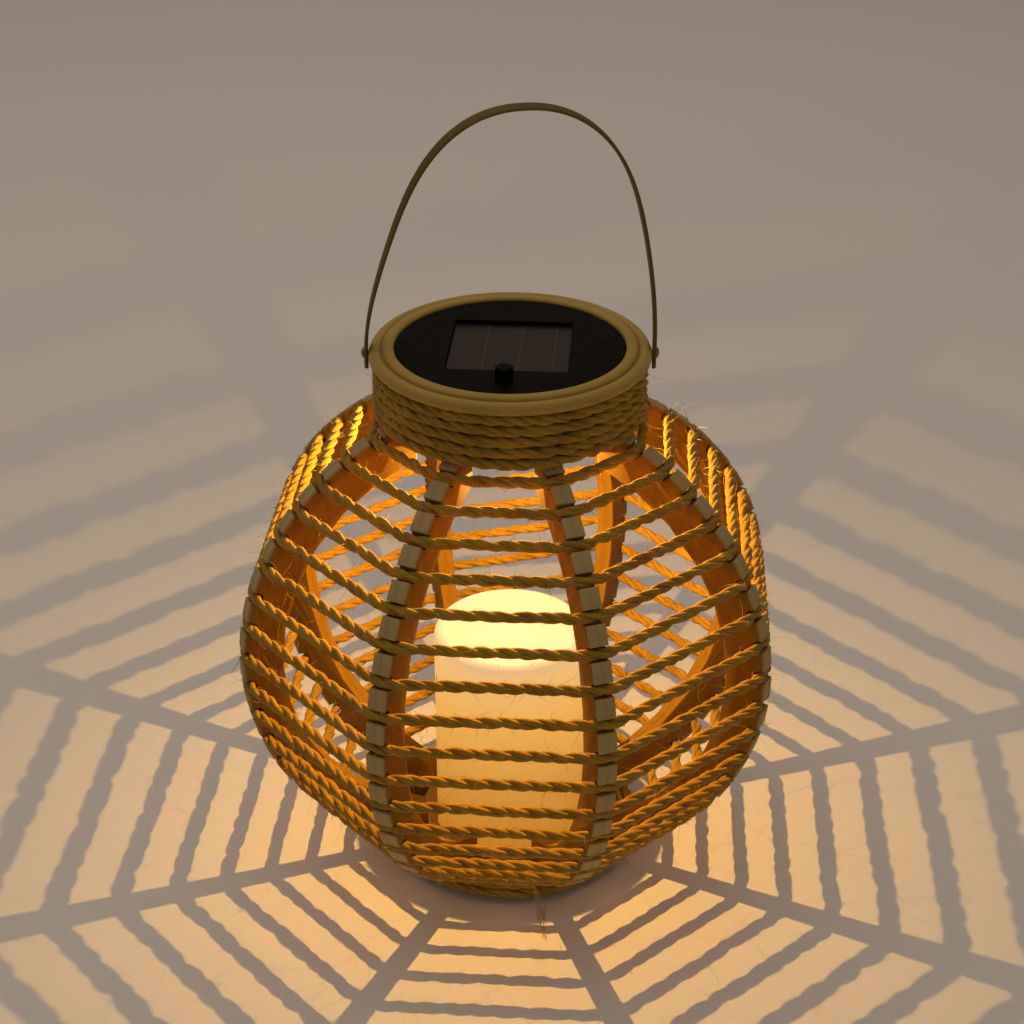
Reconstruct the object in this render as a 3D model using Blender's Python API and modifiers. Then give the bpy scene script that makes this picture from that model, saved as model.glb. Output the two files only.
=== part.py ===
"""Woven solar lantern: eight notched ribs wound with jute cord, a cord-wrapped neck
with a stepped plastic rim, a lift-out solar module, a frosted diffuser and a strap handle.

The frame is +Z up with the origin on the table under the middle of the base, and -Y to
the front. Dimensions are in millimetres and are turned into metres where they are used.
"""

import math

import bmesh
import bpy
from mathutils import Vector

MM = 0.001
GAP = 0.3

# Ribs: the outer edge is an arc round (ARC_R, ARC_Z), seen in the plane of the rib.
RIB_COUNT = 8
RIB_PHASE = 108.6
RIB_THICKNESS = 8.4
RIB_DEPTH = 19.0
ARC_R = 8.5
ARC_Z = 121.0
ARC_RADIUS = 121.5
INNER_ARC_STEPS = 12

# Cord turns and their notches, from just under the neck down to the foot.
TURN_COUNT = 17
TURN_FIRST_ANGLE = 62.9
TURN_PITCH_ANGLE = 7.44
CORD_RADIUS = 2.5
CORD_ARC_RADIUS = 118.8
CORD_CORNER = RIB_THICKNESS / 2 + 0.9
CORD_TAIL = 9.0
NOTCH_RADIUS = 3.2
NOTCH_STEPS = 4

# Foot of the lantern.
BASE_RADIUS = 56.9
BASE_FLOOR = 4.3
BASE_RIM_TOP = 12.7
FOOT_CORD_INNER = 57.5
FOOT_CORD_BOTTOM = 2.4
FOOT_CORD_TOP = 12.8
FOOT_CORD_TURNS = 2
FOOT_SOCKET = 54.5
FOOT_TONGUE_OUTER = 53.9
FOOT_TONGUE_INNER = 44.0
FOOT_LEDGE = 13.1

# Neck of the lantern.
NECK_BOTTOM = 234.3
NECK_TOP = 258.3
NECK_CORD_BOTTOM = 233.1
NECK_CORD_TURNS = 5
SKIRT_OUTER = 56.3
SKIRT_INNER = 53.3
RIM_RADIUS = 62.5
RIM_TOP = 265.0
HEAD_TONGUE_INNER = 45.2
HEAD_TONGUE_TOP = 244.0

# Solar module, with its origin on the lantern's axis.
MODULE_TURN = -4.0
COVER_RADIUS = 51.1
COVER_BOTTOM = 260.4
COVER_TOP = 264.0
PANEL_SIDE = 53.0
POCKET_FLOOR = 261.0
KNOB_DISTANCE = 36.6
KNOB_RADIUS = 4.0
KNOB_HEIGHT = 6.1
KNOB_SHAFT_RADIUS = 1.6
KNOB_SHAFT_DROP = 3.9
EDGE_NOTCH_SIZE = (2.2, 7.0, 2.4)
EDGE_NOTCH_ANGLES = (-138.0, 42.0)
CELLS_THICKNESS = 0.5
GLAZING_THICKNESS = 0.3
SEAT_LEDGE = 5.4

# Inside the solar module.
HOUSING_FLOOR = 222.0
HOUSING_RADIUS = 41.0
HOUSING_WALL = 1.8
HOUSING_SHOULDER = 246.0
LAMP_RADIUS = 2.5
LAMP_REACH = 5.1
LAMP_BOARD_RADIUS = 11.0
LAMP_BOARD_THICKNESS = 1.2
BATTERY_RADIUS = 7.1
BATTERY_LENGTH = 49.0
BATTERY_Y = 6.0
BATTERY_Z = 234.2
CONTACT_SIZE = (0.5, 11.0, 12.0)
SPRING_TURNS = 3
SPRING_STEPS = 10
SPRING_RADIUS = 3.0
SPRING_LENGTH = 2.5
SPRING_WIRE = 0.35
BOARD_SIZE = (44.0, 28.0, 1.4)
BOARD_CENTRE = (0.0, 4.0, 246.7)
WIRE_RADIUS = 0.6
WIRE_HOLE = 1.1
WIRE_X = 5.0
WIRE_Y = 12.0
SWITCH_SIZE = (8.4, 8.0, 4.6)
SWITCH_Z = 257.4

# Diffuser standing on the base.
DIFFUSER_RADIUS = 36.5
DIFFUSER_TOP = 118.5
DIFFUSER_WALL = 2.0
DIFFUSER_EDGE = 5.0

# Strap handle, hinged on two rivets at the rim.
PIVOT_Z = 260.5
STRAP_X = 63.8
STRAP_RISE = 111.4
STRAP_LEAN = 5.8
STRAP_TWIST = 10.0
STRAP_SQUARENESS = 2.23
STRAP_PINCH = 0.038
STRAP_WIDTH = 8.4
STRAP_THICKNESS = 1.6
STRAP_TAB = 7.5
STRAP_STEPS = 34
RIVET_RADIUS = 1.1
RIVET_HOLE = 1.35
RIVET_HEAD = 2.4
RIVET_HEAD_HEIGHT = 1.2

# Hidden fastenings.
HOOP_BOTTOM = 232.0
HOOP_TOP = 243.0
LOWER_HOOP_INNER = 38.6
LOWER_HOOP_TOP = 12.0
SCREW_HOLE = 1.5
PLUG_HOLE = 2.1
PLUG_TOP = 11.0

TURNED_STEPS = 40
RING_STEPS = 32


def clear_scene():
    for obj in list(bpy.data.objects):
        bpy.data.objects.remove(obj, do_unlink=True)


def new_collection(name):
    collection = bpy.data.collections.new(name)
    bpy.context.scene.collection.children.link(collection)
    return collection


def finish(name, colour, roughness, metallic=0.0, alpha=1.0):
    material = bpy.data.materials.new(name)
    material.use_nodes = True
    shader = material.node_tree.nodes["Principled BSDF"]
    shader.inputs["Base Color"].default_value = (*colour, 1.0)
    shader.inputs["Roughness"].default_value = roughness
    shader.inputs["Metallic"].default_value = metallic
    shader.inputs["Alpha"].default_value = alpha
    material.diffuse_color = (*colour, 1.0)
    return material


def add_object(name, data, material, parent=None, collection=None):
    obj = bpy.data.objects.new(name, data)
    (collection or LANTERN).objects.link(obj)
    if material and not data.materials:
        data.materials.append(material)
    obj.parent = parent
    return obj


def smooth(mesh, angle=40.0):
    mesh.shade_smooth()
    mesh.set_sharp_from_angle(angle=math.radians(angle))


def turned(name, profile, material, closed=True, steps=TURNED_STEPS, parent=None, collection=None):
    """Spins a profile of (radius, height) points, listed down its outer side, about Z."""
    mesh = bpy.data.meshes.new(name)
    shape = bmesh.new()
    verts = [shape.verts.new((r * MM, 0.0, z * MM)) for r, z in profile]
    for first, second in zip(verts, verts[1:]):
        shape.edges.new((first, second))
    if closed:
        shape.edges.new((verts[-1], verts[0]))
    shape.to_mesh(mesh)
    shape.free()
    obj = add_object(name, mesh, material, parent, collection)
    screw = obj.modifiers.new("Turn", "SCREW")
    screw.axis = "Z"
    screw.steps = steps
    screw.render_steps = steps
    screw.use_merge_vertices = True
    screw.merge_threshold = 0.00001
    screw.use_smooth_shade = True
    return obj


def box(name, size, centre, material, parent=None, collection=None):
    mesh = bpy.data.meshes.new(name)
    shape = bmesh.new()
    bmesh.ops.create_cube(shape, size=1.0)
    bmesh.ops.scale(shape, vec=Vector(size) * MM, verts=shape.verts)
    shape.to_mesh(mesh)
    shape.free()
    obj = add_object(name, mesh, material, parent, collection)
    obj.location = Vector(centre) * MM
    return obj


def cylinder(name, radius, length, centre, along, material, parent=None, collection=None, sides=24):
    """A straight round bar whose axis points the way `along` points."""
    mesh = bpy.data.meshes.new(name)
    shape = bmesh.new()
    bmesh.ops.create_cone(
        shape, cap_ends=True, segments=sides, radius1=radius * MM, radius2=radius * MM, depth=length * MM
    )
    shape.to_mesh(mesh)
    shape.free()
    smooth(mesh)
    obj = add_object(name, mesh, material, parent, collection)
    obj.location = Vector(centre) * MM
    obj.rotation_mode = "QUATERNION"
    obj.rotation_quaternion = Vector(along).to_track_quat("Z", "Y")
    return obj


def cutter(obj):
    obj.hide_render = True
    obj.display_type = "WIRE"
    return obj


def drill(name, radius, length, centre, along, parent=None, sides=12):
    """A hidden bar that bores a hole of its own radius."""
    return cutter(cylinder(name, radius, length, centre, along, None, parent, CUTTERS, sides))


def cut(obj, tool):
    boolean = obj.modifiers.new("Cut " + tool.name, "BOOLEAN")
    boolean.operation = "DIFFERENCE"
    boolean.solver = "EXACT"
    boolean.object = tool


def cord(name, points, radius, material, cyclic=False, resolution=2, parent=None):
    """A round cord along straight runs between the points, with flat ends."""
    curve = bpy.data.curves.new(name, "CURVE")
    curve.dimensions = "3D"
    curve.bevel_depth = radius * MM
    curve.bevel_resolution = resolution
    curve.use_fill_caps = not cyclic
    spline = curve.splines.new("POLY")
    spline.points.add(len(points) - 1)
    for point, place in zip(spline.points, points):
        point.co = (*(Vector(place) * MM), 1.0)
    spline.use_cyclic_u = cyclic
    return add_object(name, curve, material, parent)


def arc_point(radius, angle):
    """(radial distance, height) of a point on a circle round the rib's arc centre."""
    turn = math.radians(angle)
    return (ARC_R + radius * math.cos(turn), ARC_Z + radius * math.sin(turn))


def turn_angle(index):
    return TURN_FIRST_ANGLE - TURN_PITCH_ANGLE * index


def notch_points(angle):
    """The wall, round floor and wall of one U notch, from its upper lip to its lower lip."""
    middle = Vector(arc_point(CORD_ARC_RADIUS, angle))
    turn = math.radians(angle)
    outward = Vector((math.cos(turn), math.sin(turn)))
    upward = Vector((-math.sin(turn), math.cos(turn)))
    lip = math.sqrt(ARC_RADIUS**2 - NOTCH_RADIUS**2) - CORD_ARC_RADIUS
    points = [middle + upward * NOTCH_RADIUS + outward * lip]
    for step in range(NOTCH_STEPS + 1):
        swing = math.pi * step / NOTCH_STEPS
        points.append(middle + NOTCH_RADIUS * (upward * math.cos(swing) - outward * math.sin(swing)))
    points.append(middle - upward * NOTCH_RADIUS + outward * lip)
    return points


def rib_outline():
    """The rib's side view: head tongue, notched outer arc, foot tongue, plain inner arc."""
    tongue = SKIRT_INNER - 2 * GAP
    shoulder = ARC_Z + math.sqrt(ARC_RADIUS**2 - (tongue - ARC_R) ** 2)
    outline = [(tongue, HEAD_TONGUE_TOP), (tongue, shoulder)]
    for index in range(TURN_COUNT):
        outline += [tuple(point) for point in notch_points(turn_angle(index))]
    ledge_radius = ARC_R + math.sqrt(ARC_RADIUS**2 - (FOOT_LEDGE - ARC_Z) ** 2)
    outline.append((ledge_radius, FOOT_LEDGE))
    outline.append((FOOT_TONGUE_OUTER, FOOT_LEDGE))
    outline.append((FOOT_TONGUE_OUTER, BASE_FLOOR + GAP))
    outline.append((FOOT_TONGUE_INNER, BASE_FLOOR + GAP))
    inner = ARC_RADIUS - RIB_DEPTH
    low = math.degrees(math.acos((FOOT_TONGUE_INNER - ARC_R) / inner))
    high = math.degrees(math.acos((HEAD_TONGUE_INNER - ARC_R) / inner))
    for step in range(INNER_ARC_STEPS + 1):
        outline.append(arc_point(inner, -low + (low + high) * step / INNER_ARC_STEPS))
    outline.append((HEAD_TONGUE_INNER, HEAD_TONGUE_TOP))
    return outline


def build_ribs():
    curve = bpy.data.curves.new("rib", "CURVE")
    curve.dimensions = "2D"
    curve.fill_mode = "BOTH"
    curve.extrude = RIB_THICKNESS / 2 * MM
    outline = rib_outline()
    spline = curve.splines.new("POLY")
    spline.points.add(len(outline) - 1)
    for point, (r, z) in zip(spline.points, outline):
        point.co = (r * MM, z * MM, 0.0, 1.0)
    spline.use_cyclic_u = True
    for index in range(RIB_COUNT):
        rib = add_object(f"rib_{index + 1}", curve, RIB_FINISH)
        rib.rotation_euler = (math.radians(90), 0.0, rib_azimuth(index))


def rib_azimuth(index):
    return math.radians(RIB_PHASE + 360.0 / RIB_COUNT * index)


def corner(rib, turn, side):
    """Where the cord bends at one side of a rib: side is -1 before the rib and 1 after it."""
    azimuth = rib_azimuth(rib)
    radial = Vector((math.cos(azimuth), math.sin(azimuth), 0.0))
    across = Vector((-math.sin(azimuth), math.cos(azimuth), 0.0))
    r, z = arc_point(CORD_ARC_RADIUS, turn_angle(turn))
    return radial * r + across * (side * CORD_CORNER) + Vector((0.0, 0.0, z))


def turn_path(turn):
    """One turn of the cord. It steps down to the next notch on the face behind rib 8."""
    path = []
    for rib in range(RIB_COUNT):
        path += [corner(rib, turn, -1), corner(rib, turn, 1)]
    last = RIB_COUNT - 1
    if turn == 0:
        level = (corner(last, 0, 1) - path[0]).normalized()
        start = path[0] + level * CORD_TAIL
    else:
        before = corner(last, turn - 1, 1)
        start = (before + path[0]) / 2 + (path[0] - before).normalized() * (GAP / 2)
    if turn == TURN_COUNT - 1:
        level = (path[0] - path[-1]).normalized()
        end = path[-1] + level * CORD_TAIL
    else:
        after = corner(0, turn + 1, -1)
        end = (path[-1] + after) / 2 - (after - path[-1]).normalized() * (GAP / 2)
    return [start] + path + [end]


def build_cage_cord():
    for turn in range(TURN_COUNT):
        cord(f"cord_turn_{turn + 1:02d}", turn_path(turn), CORD_RADIUS, JUTE)


def build_winding(name, inner, bottom, top, turns):
    """Close-wound turns of cord, as one sleeve with a rounded ridge per turn."""
    pitch = (top - bottom) / turns
    profile = [(inner, top)]
    for turn in range(turns):
        for share, bulge in ((0.0, 0.6), (0.3, 0.97), (0.7, 0.97)):
            profile.append((inner + 2 * CORD_RADIUS * bulge, top - pitch * (turn + share)))
    profile.append((inner + 2 * CORD_RADIUS * 0.6, bottom))
    profile.append((inner, bottom))
    turned(name, profile, JUTE)


def build_collar():
    """The moulded neck: a skirt, a shelf for the module and a rim with stepped beads."""
    seat = COVER_RADIUS + GAP
    shelf = COVER_BOTTOM - 1.4
    profile = [
        (seat, RIM_TOP - 0.5),
        (seat + 0.8, RIM_TOP + 0.1),
        (seat + 2.6, RIM_TOP + 0.4),
        (seat + 4.5, RIM_TOP - 0.1),
        (seat + 5.4, RIM_TOP - 1.9),
        (RIM_RADIUS - 4.6, RIM_TOP - 1.3),
        (RIM_RADIUS - 2.9, RIM_TOP - 0.7),
        (RIM_RADIUS - 1.3, RIM_TOP - 1.2),
        (RIM_RADIUS - 0.4, RIM_TOP - 2.4),
        (RIM_RADIUS, RIM_TOP - 3.8),
        (RIM_RADIUS - 0.4, RIM_TOP - 5.2),
        (RIM_RADIUS - 1.4, RIM_TOP - 6.1),
        (SKIRT_OUTER, NECK_TOP + GAP),
        (SKIRT_OUTER, NECK_BOTTOM),
        (SKIRT_INNER, NECK_BOTTOM),
        (SKIRT_INNER, shelf - 2.6),
        (seat - SEAT_LEDGE, shelf - 2.6),
        (seat - SEAT_LEDGE, shelf),
        (seat, shelf),
    ]
    collar = turned("neck_collar", profile, TAN_PLASTIC)
    depth = STRAP_X - seat - 1.7
    for side, word in ((-1, "left"), (1, "right")):
        centre = (side * (seat + 1.7 + depth), 0.0, PIVOT_Z)
        cut(collar, drill(f"collar_hole_{word}", RIVET_HOLE, 2 * depth, centre, (1, 0, 0)))


def build_hoops():
    """The hoops hold the rib tongues against the neck and the dish. Returns the lower one."""
    outer = HEAD_TONGUE_INNER - GAP
    inner = HOUSING_RADIUS + 1.4
    band = [(outer, HOOP_TOP), (outer, HOOP_BOTTOM), (inner, HOOP_BOTTOM), (inner, HOOP_TOP)]
    turned("upper_hoop", band, TAN_PLASTIC)
    outer = FOOT_TONGUE_INNER - GAP
    low = BASE_FLOOR + GAP
    inner = LOWER_HOOP_INNER
    band = [(outer, LOWER_HOOP_TOP), (outer, low), (inner, low), (inner, LOWER_HOOP_TOP)]
    return turned("lower_hoop", band, TAN_PLASTIC)


def build_base(hoop):
    profile = [
        (BASE_RADIUS, BASE_RIM_TOP),
        (BASE_RADIUS, 2.1),
        (BASE_RADIUS + 1.2, 1.7),
        (BASE_RADIUS + 1.2, 0.7),
        (BASE_RADIUS + 0.4, 0.0),
        (50.0, 0.0),
        (49.0, 1.3),
        (PLUG_HOLE, 1.3),
        (PLUG_HOLE, BASE_FLOOR),
        (FOOT_SOCKET, BASE_FLOOR),
        (FOOT_SOCKET, BASE_RIM_TOP),
    ]
    base = turned("base_dish", profile, TAN_PLASTIC)
    screw_circle = (FOOT_TONGUE_INNER - GAP + LOWER_HOOP_INNER) / 2
    for index in range(3):
        turn = math.radians(90 + 120 * index)
        place = (screw_circle * math.cos(turn), screw_circle * math.sin(turn), 5.0)
        hole = drill(f"hoop_hole_{index + 1}", SCREW_HOLE, 16.0, place, (0, 0, 1))
        cut(base, hole)
        cut(hoop, hole)
        screw = pan_screw(f"hoop_screw_{index + 1}", 1.2, 2.0, 9.6)
        screw.location = Vector((place[0], place[1], 0.0)) * MM


def pan_screw(name, radius, head_radius, tip):
    """A screw driven up from below, standing on its own axis with its head just off the table."""
    head = 0.35
    top = 1.0
    profile = [
        (0.0, tip),
        (radius * 0.6, tip),
        (radius, tip - 1.0),
        (radius, top),
        (head_radius, top),
        (head_radius * 0.9, head),
        (0.0, head),
    ]
    return turned(name, profile, STEEL, closed=False, steps=12)


def rounded_corner(radius, top, edge, steps=3):
    """Points round the corner between a flat top and an upright wall."""
    points = []
    for step in range(steps + 1):
        turn = math.pi / 2 * (1 - step / steps)
        points.append((radius - edge + edge * math.cos(turn), top - edge + edge * math.sin(turn)))
    return points


def build_diffuser():
    low = BASE_FLOOR + GAP
    outside = rounded_corner(DIFFUSER_RADIUS, DIFFUSER_TOP, DIFFUSER_EDGE)
    inner_radius = DIFFUSER_RADIUS - DIFFUSER_WALL
    inside = rounded_corner(inner_radius, DIFFUSER_TOP - DIFFUSER_WALL, DIFFUSER_EDGE - DIFFUSER_WALL)
    profile = [(0.0, DIFFUSER_TOP)] + outside
    profile += [(DIFFUSER_RADIUS, low), (inner_radius, low)]
    profile += inside[::-1] + [(0.0, DIFFUSER_TOP - DIFFUSER_WALL)]
    turned("diffuser", profile, FROSTED, closed=False)
    plug = inner_radius - GAP
    disc = [(plug, PLUG_TOP), (plug, low), (PLUG_HOLE, low), (PLUG_HOLE, PLUG_TOP)]
    turned("diffuser_plug", disc, TAN_PLASTIC)
    pan_screw("plug_screw", 1.7, 3.4, 10.4)


def build_module(pivot):
    """The lift-out solar unit: cover, cells, housing, battery, boards, lamp and switch."""
    cover = turned(
        "module_cover",
        [
            (0.0, COVER_TOP),
            (COVER_RADIUS - 0.6, COVER_TOP),
            (COVER_RADIUS, COVER_TOP - 0.6),
            (COVER_RADIUS, COVER_BOTTOM),
            (0.0, COVER_BOTTOM),
        ],
        BLACK_PLASTIC,
        closed=False,
        parent=pivot,
    )
    pocket_side = PANEL_SIDE + 2 * GAP
    pocket = box(
        "pocket_cutter",
        (pocket_side, pocket_side, 6.0),
        (0.0, 0.0, POCKET_FLOOR + 3.0),
        None,
        parent=pivot,
        collection=CUTTERS,
    )
    cut(cover, cutter(pocket))
    place = (0.0, -KNOB_DISTANCE, COVER_TOP - 2.0)
    cut(cover, drill("shaft_cutter", KNOB_SHAFT_RADIUS + 0.5, 9.0, place, (0, 0, 1), pivot, 16))
    for side, word in ((-1, "left"), (1, "right")):
        place = (side * WIRE_X, WIRE_Y, COVER_TOP - 4.0)
        cut(cover, drill(f"wire_cutter_{word}", WIRE_HOLE, 9.0, place, (0, 0, 1), pivot, 10))
    for angle in EDGE_NOTCH_ANGLES:
        turn = math.radians(angle)
        place = (COVER_RADIUS * math.cos(turn), COVER_RADIUS * math.sin(turn), COVER_TOP)
        notch = box(f"rim_notch_{int(angle) % 360}", EDGE_NOTCH_SIZE, place, None, pivot, CUTTERS)
        notch.rotation_euler = (0.0, 0.0, turn)
        cut(cover, cutter(notch))
    cells_middle = POCKET_FLOOR + GAP + CELLS_THICKNESS / 2
    box("solar_cells", (PANEL_SIDE, PANEL_SIDE, CELLS_THICKNESS), (0, 0, cells_middle), CELLS, pivot)
    glazing_middle = cells_middle + (CELLS_THICKNESS + GLAZING_THICKNESS) / 2 + GAP
    box("cell_glazing", (PANEL_SIDE, PANEL_SIDE, GLAZING_THICKNESS), (0, 0, glazing_middle), GLAZING, pivot)
    inner_seat = COVER_RADIUS + GAP - SEAT_LEDGE
    turned(
        "seal_ring",
        [
            (COVER_RADIUS - 0.2, COVER_BOTTOM - GAP),
            (COVER_RADIUS - 0.2, COVER_BOTTOM - 1.1),
            (inner_seat + 0.4, COVER_BOTTOM - 1.1),
            (inner_seat + 0.4, COVER_BOTTOM - GAP),
        ],
        RUBBER,
        parent=pivot,
        steps=40,
    )
    build_housing(pivot)
    build_light(pivot)
    build_power(pivot)
    build_switch(pivot)


def build_housing(pivot):
    top = COVER_BOTTOM - GAP
    wide = COVER_RADIUS - 5.7
    narrow = HOUSING_RADIUS
    profile = [
        (wide, top),
        (wide, HOUSING_SHOULDER + 4.0),
        (narrow, HOUSING_SHOULDER),
        (narrow, HOUSING_FLOOR + 2.5),
        (narrow - 2.5, HOUSING_FLOOR),
        (LAMP_RADIUS + 0.9, HOUSING_FLOOR),
        (LAMP_RADIUS + 0.9, HOUSING_FLOOR + HOUSING_WALL),
        (narrow - 3.0, HOUSING_FLOOR + HOUSING_WALL),
        (narrow - HOUSING_WALL, HOUSING_FLOOR + 3.2),
        (narrow - HOUSING_WALL, HOUSING_SHOULDER + 0.8),
        (wide - HOUSING_WALL, HOUSING_SHOULDER + 4.8),
        (wide - HOUSING_WALL, top),
    ]
    turned("module_housing", profile, BLACK_PLASTIC, parent=pivot, steps=RING_STEPS)


def build_light(pivot):
    """The lamp hangs from its round board, through the hole in the housing floor."""
    board_low = HOUSING_FLOOR + HOUSING_WALL + GAP
    centre = (0.0, 0.0, board_low + LAMP_BOARD_THICKNESS / 2)
    cylinder("lamp_board", LAMP_BOARD_RADIUS, LAMP_BOARD_THICKNESS, centre, (0, 0, 1), BOARD, pivot)
    profile = [
        (0.0, board_low - GAP),
        (LAMP_RADIUS + 0.5, board_low - GAP),
        (LAMP_RADIUS + 0.5, HOUSING_FLOOR + 0.4),
        (LAMP_RADIUS, HOUSING_FLOOR + 0.2),
        (LAMP_RADIUS, HOUSING_FLOOR - LAMP_REACH + 2.5),
        (LAMP_RADIUS - 0.3, HOUSING_FLOOR - LAMP_REACH + 1.2),
        (LAMP_RADIUS - 1.2, HOUSING_FLOOR - LAMP_REACH + 0.3),
        (0.0, HOUSING_FLOOR - LAMP_REACH),
    ]
    turned("lamp", profile, LAMP, closed=False, steps=16, parent=pivot)


def build_power(pivot):
    """The cell between its contacts, the charging board over it and the leads up to the panel."""
    centre = (0.0, BATTERY_Y, BATTERY_Z)
    cylinder("battery", BATTERY_RADIUS, BATTERY_LENGTH, centre, (1, 0, 0), BATTERY, pivot)
    positive = BATTERY_LENGTH / 2 + GAP + CONTACT_SIZE[0] / 2
    negative = -positive - 2 * SPRING_WIRE - SPRING_LENGTH
    box("contact_positive", CONTACT_SIZE, (positive, BATTERY_Y, BATTERY_Z), STEEL, pivot)
    box("contact_negative", CONTACT_SIZE, (negative, BATTERY_Y, BATTERY_Z), STEEL, pivot)
    start = -BATTERY_LENGTH / 2 - GAP - SPRING_WIRE
    coil = []
    for step in range(SPRING_TURNS * SPRING_STEPS + 1):
        turn = 2 * math.pi * step / SPRING_STEPS
        x = start - SPRING_LENGTH * step / (SPRING_TURNS * SPRING_STEPS)
        y = BATTERY_Y + SPRING_RADIUS * math.cos(turn)
        z = BATTERY_Z + SPRING_RADIUS * math.sin(turn)
        coil.append((x, y, z))
    cord("contact_spring", coil, SPRING_WIRE, STEEL, resolution=1, parent=pivot)
    box("charge_board", BOARD_SIZE, BOARD_CENTRE, BOARD, pivot)
    board_top = BOARD_CENTRE[2] + BOARD_SIZE[2] / 2
    for side, word in ((-1, "left"), (1, "right")):
        path = [
            (side * (WIRE_X + 3.0), WIRE_Y + 2.0, board_top + 0.35),
            (side * (WIRE_X + 3.0), WIRE_Y + 1.0, board_top + 6.6),
            (side * WIRE_X, WIRE_Y, board_top + 10.6),
            (side * WIRE_X, WIRE_Y, POCKET_FLOOR - 0.1),
        ]
        cord(f"cell_wire_{word}", path, WIRE_RADIUS, WIRE, parent=pivot)


def build_switch(pivot):
    box("switch_body", SWITCH_SIZE, (0.0, -KNOB_DISTANCE, SWITCH_Z), BLACK_PLASTIC, pivot)
    knob_axis = axis_empty("knob_axis", (0.0, -KNOB_DISTANCE, COVER_TOP))
    knob_axis.parent = pivot
    top = GAP + KNOB_HEIGHT
    profile = [
        (0.0, top),
        (KNOB_RADIUS - 0.9, top),
        (KNOB_RADIUS - 0.2, top - 0.7),
        (KNOB_RADIUS, GAP),
        (KNOB_SHAFT_RADIUS, GAP),
        (KNOB_SHAFT_RADIUS, -KNOB_SHAFT_DROP),
        (0.0, -KNOB_SHAFT_DROP),
    ]
    knob = turned("switch_knob", profile, BLACK_PLASTIC, closed=False, steps=24, parent=knob_axis)
    slot = box("knob_slot", (0.9, 6.0, 1.0), (0.0, -2.2, top), None, knob_axis, CUTTERS)
    cut(knob, cutter(slot))


def strap_stations():
    """(x, height over the pivot, half width, twist) along the strap's middle, tab to tab."""
    half = STRAP_WIDTH / 2
    centre = half - STRAP_TAB
    tab = []
    for turn in (76.0, 55.0, 35.0, 15.0):
        angle = math.radians(turn)
        tab.append((centre - half * math.sin(angle), half * math.cos(angle)))
    stations = [(-STRAP_X, height, width, 0.0) for height, width in tab]
    power = 2 / STRAP_SQUARENESS
    for step in range(STRAP_STEPS + 1):
        turn = math.radians(-90 + 180 * step / STRAP_STEPS)
        level = max(math.cos(turn), 0.0) ** power
        reach = math.copysign(abs(math.sin(turn)) ** power, turn)
        pinch = 1 - STRAP_PINCH * math.sin(math.pi * level) ** 2
        ease = math.sin(math.pi / 2 * level)
        x = STRAP_X * reach * pinch + STRAP_LEAN * ease**1.4
        stations.append((x, STRAP_RISE * level, half, math.radians(STRAP_TWIST) * ease))
    stations += [(STRAP_X, height, width, 0.0) for height, width in reversed(tab)]
    return stations


def build_handle(pivot):
    """The strap is a grid laid along the arch, thickened and drilled for its rivets."""
    stations = strap_stations()
    mesh = bpy.data.meshes.new("handle_strap")
    shape = bmesh.new()
    bmesh.ops.create_grid(shape, x_segments=len(stations) - 1, y_segments=2, size=1.0)
    for vert in shape.verts:
        index = round((vert.co.x + 1.0) / 2.0 * (len(stations) - 1))
        x, height, width, twist = stations[index]
        y = vert.co.y * width
        vert.co.x = (x * math.cos(twist) - y * math.sin(twist)) * MM
        vert.co.y = (x * math.sin(twist) + y * math.cos(twist)) * MM
        vert.co.z = height * MM
    shape.to_mesh(mesh)
    shape.free()
    smooth(mesh)
    strap = add_object("handle_strap", mesh, STRAP, parent=pivot)
    thick = strap.modifiers.new("Thickness", "SOLIDIFY")
    thick.thickness = STRAP_THICKNESS * MM
    thick.offset = 0.0
    cut(strap, drill("strap_holes", RIVET_HOLE, 2 * STRAP_X + 12.0, (0, 0, 0), (1, 0, 0), pivot))


def build_rivets():
    """Each rivet is turned about its own axis, then laid along X through strap and rim."""
    head = STRAP_X + STRAP_THICKNESS / 2 + GAP
    tip = COVER_RADIUS + GAP + 2.0
    for side, word in ((-1, "left"), (1, "right")):
        profile = [
            (0.0, head + RIVET_HEAD_HEIGHT),
            (RIVET_HEAD * 0.55, head + RIVET_HEAD_HEIGHT * 0.9),
            (RIVET_HEAD * 0.88, head + RIVET_HEAD_HEIGHT * 0.57),
            (RIVET_HEAD, head),
            (RIVET_RADIUS, head),
            (RIVET_RADIUS, tip),
            (0.0, tip),
        ]
        rivet = turned(f"rivet_{word}", profile, STEEL, closed=False, steps=16)
        rivet.location = (0.0, 0.0, PIVOT_Z * MM)
        rivet.rotation_euler = (0.0, side * math.radians(90), 0.0)


def axis_empty(name, place):
    empty = bpy.data.objects.new(name, None)
    LANTERN.objects.link(empty)
    empty.location = Vector(place) * MM
    return empty


clear_scene()
LANTERN = new_collection("solar_lantern")
CUTTERS = new_collection("cutters")

JUTE = finish("jute", (0.36, 0.25, 0.12), 0.95)
RIB_FINISH = finish("rib_plastic", (0.36, 0.30, 0.20), 0.6)
TAN_PLASTIC = finish("tan_plastic", (0.42, 0.31, 0.15), 0.45)
BLACK_PLASTIC = finish("black_plastic", (0.02, 0.02, 0.02), 0.5)
CELLS = finish("solar_cell", (0.03, 0.025, 0.03), 0.35)
GLAZING = finish("clear_resin", (0.6, 0.6, 0.6), 0.12, alpha=0.25)
RUBBER = finish("rubber", (0.03, 0.03, 0.03), 0.8)
FROSTED = finish("frosted_plastic", (0.95, 0.82, 0.58), 0.5)
STEEL = finish("steel", (0.55, 0.53, 0.5), 0.35, 1.0)
BOARD = finish("circuit_board", (0.03, 0.16, 0.07), 0.5)
BATTERY = finish("battery_sleeve", (0.1, 0.25, 0.12), 0.4)
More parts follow.
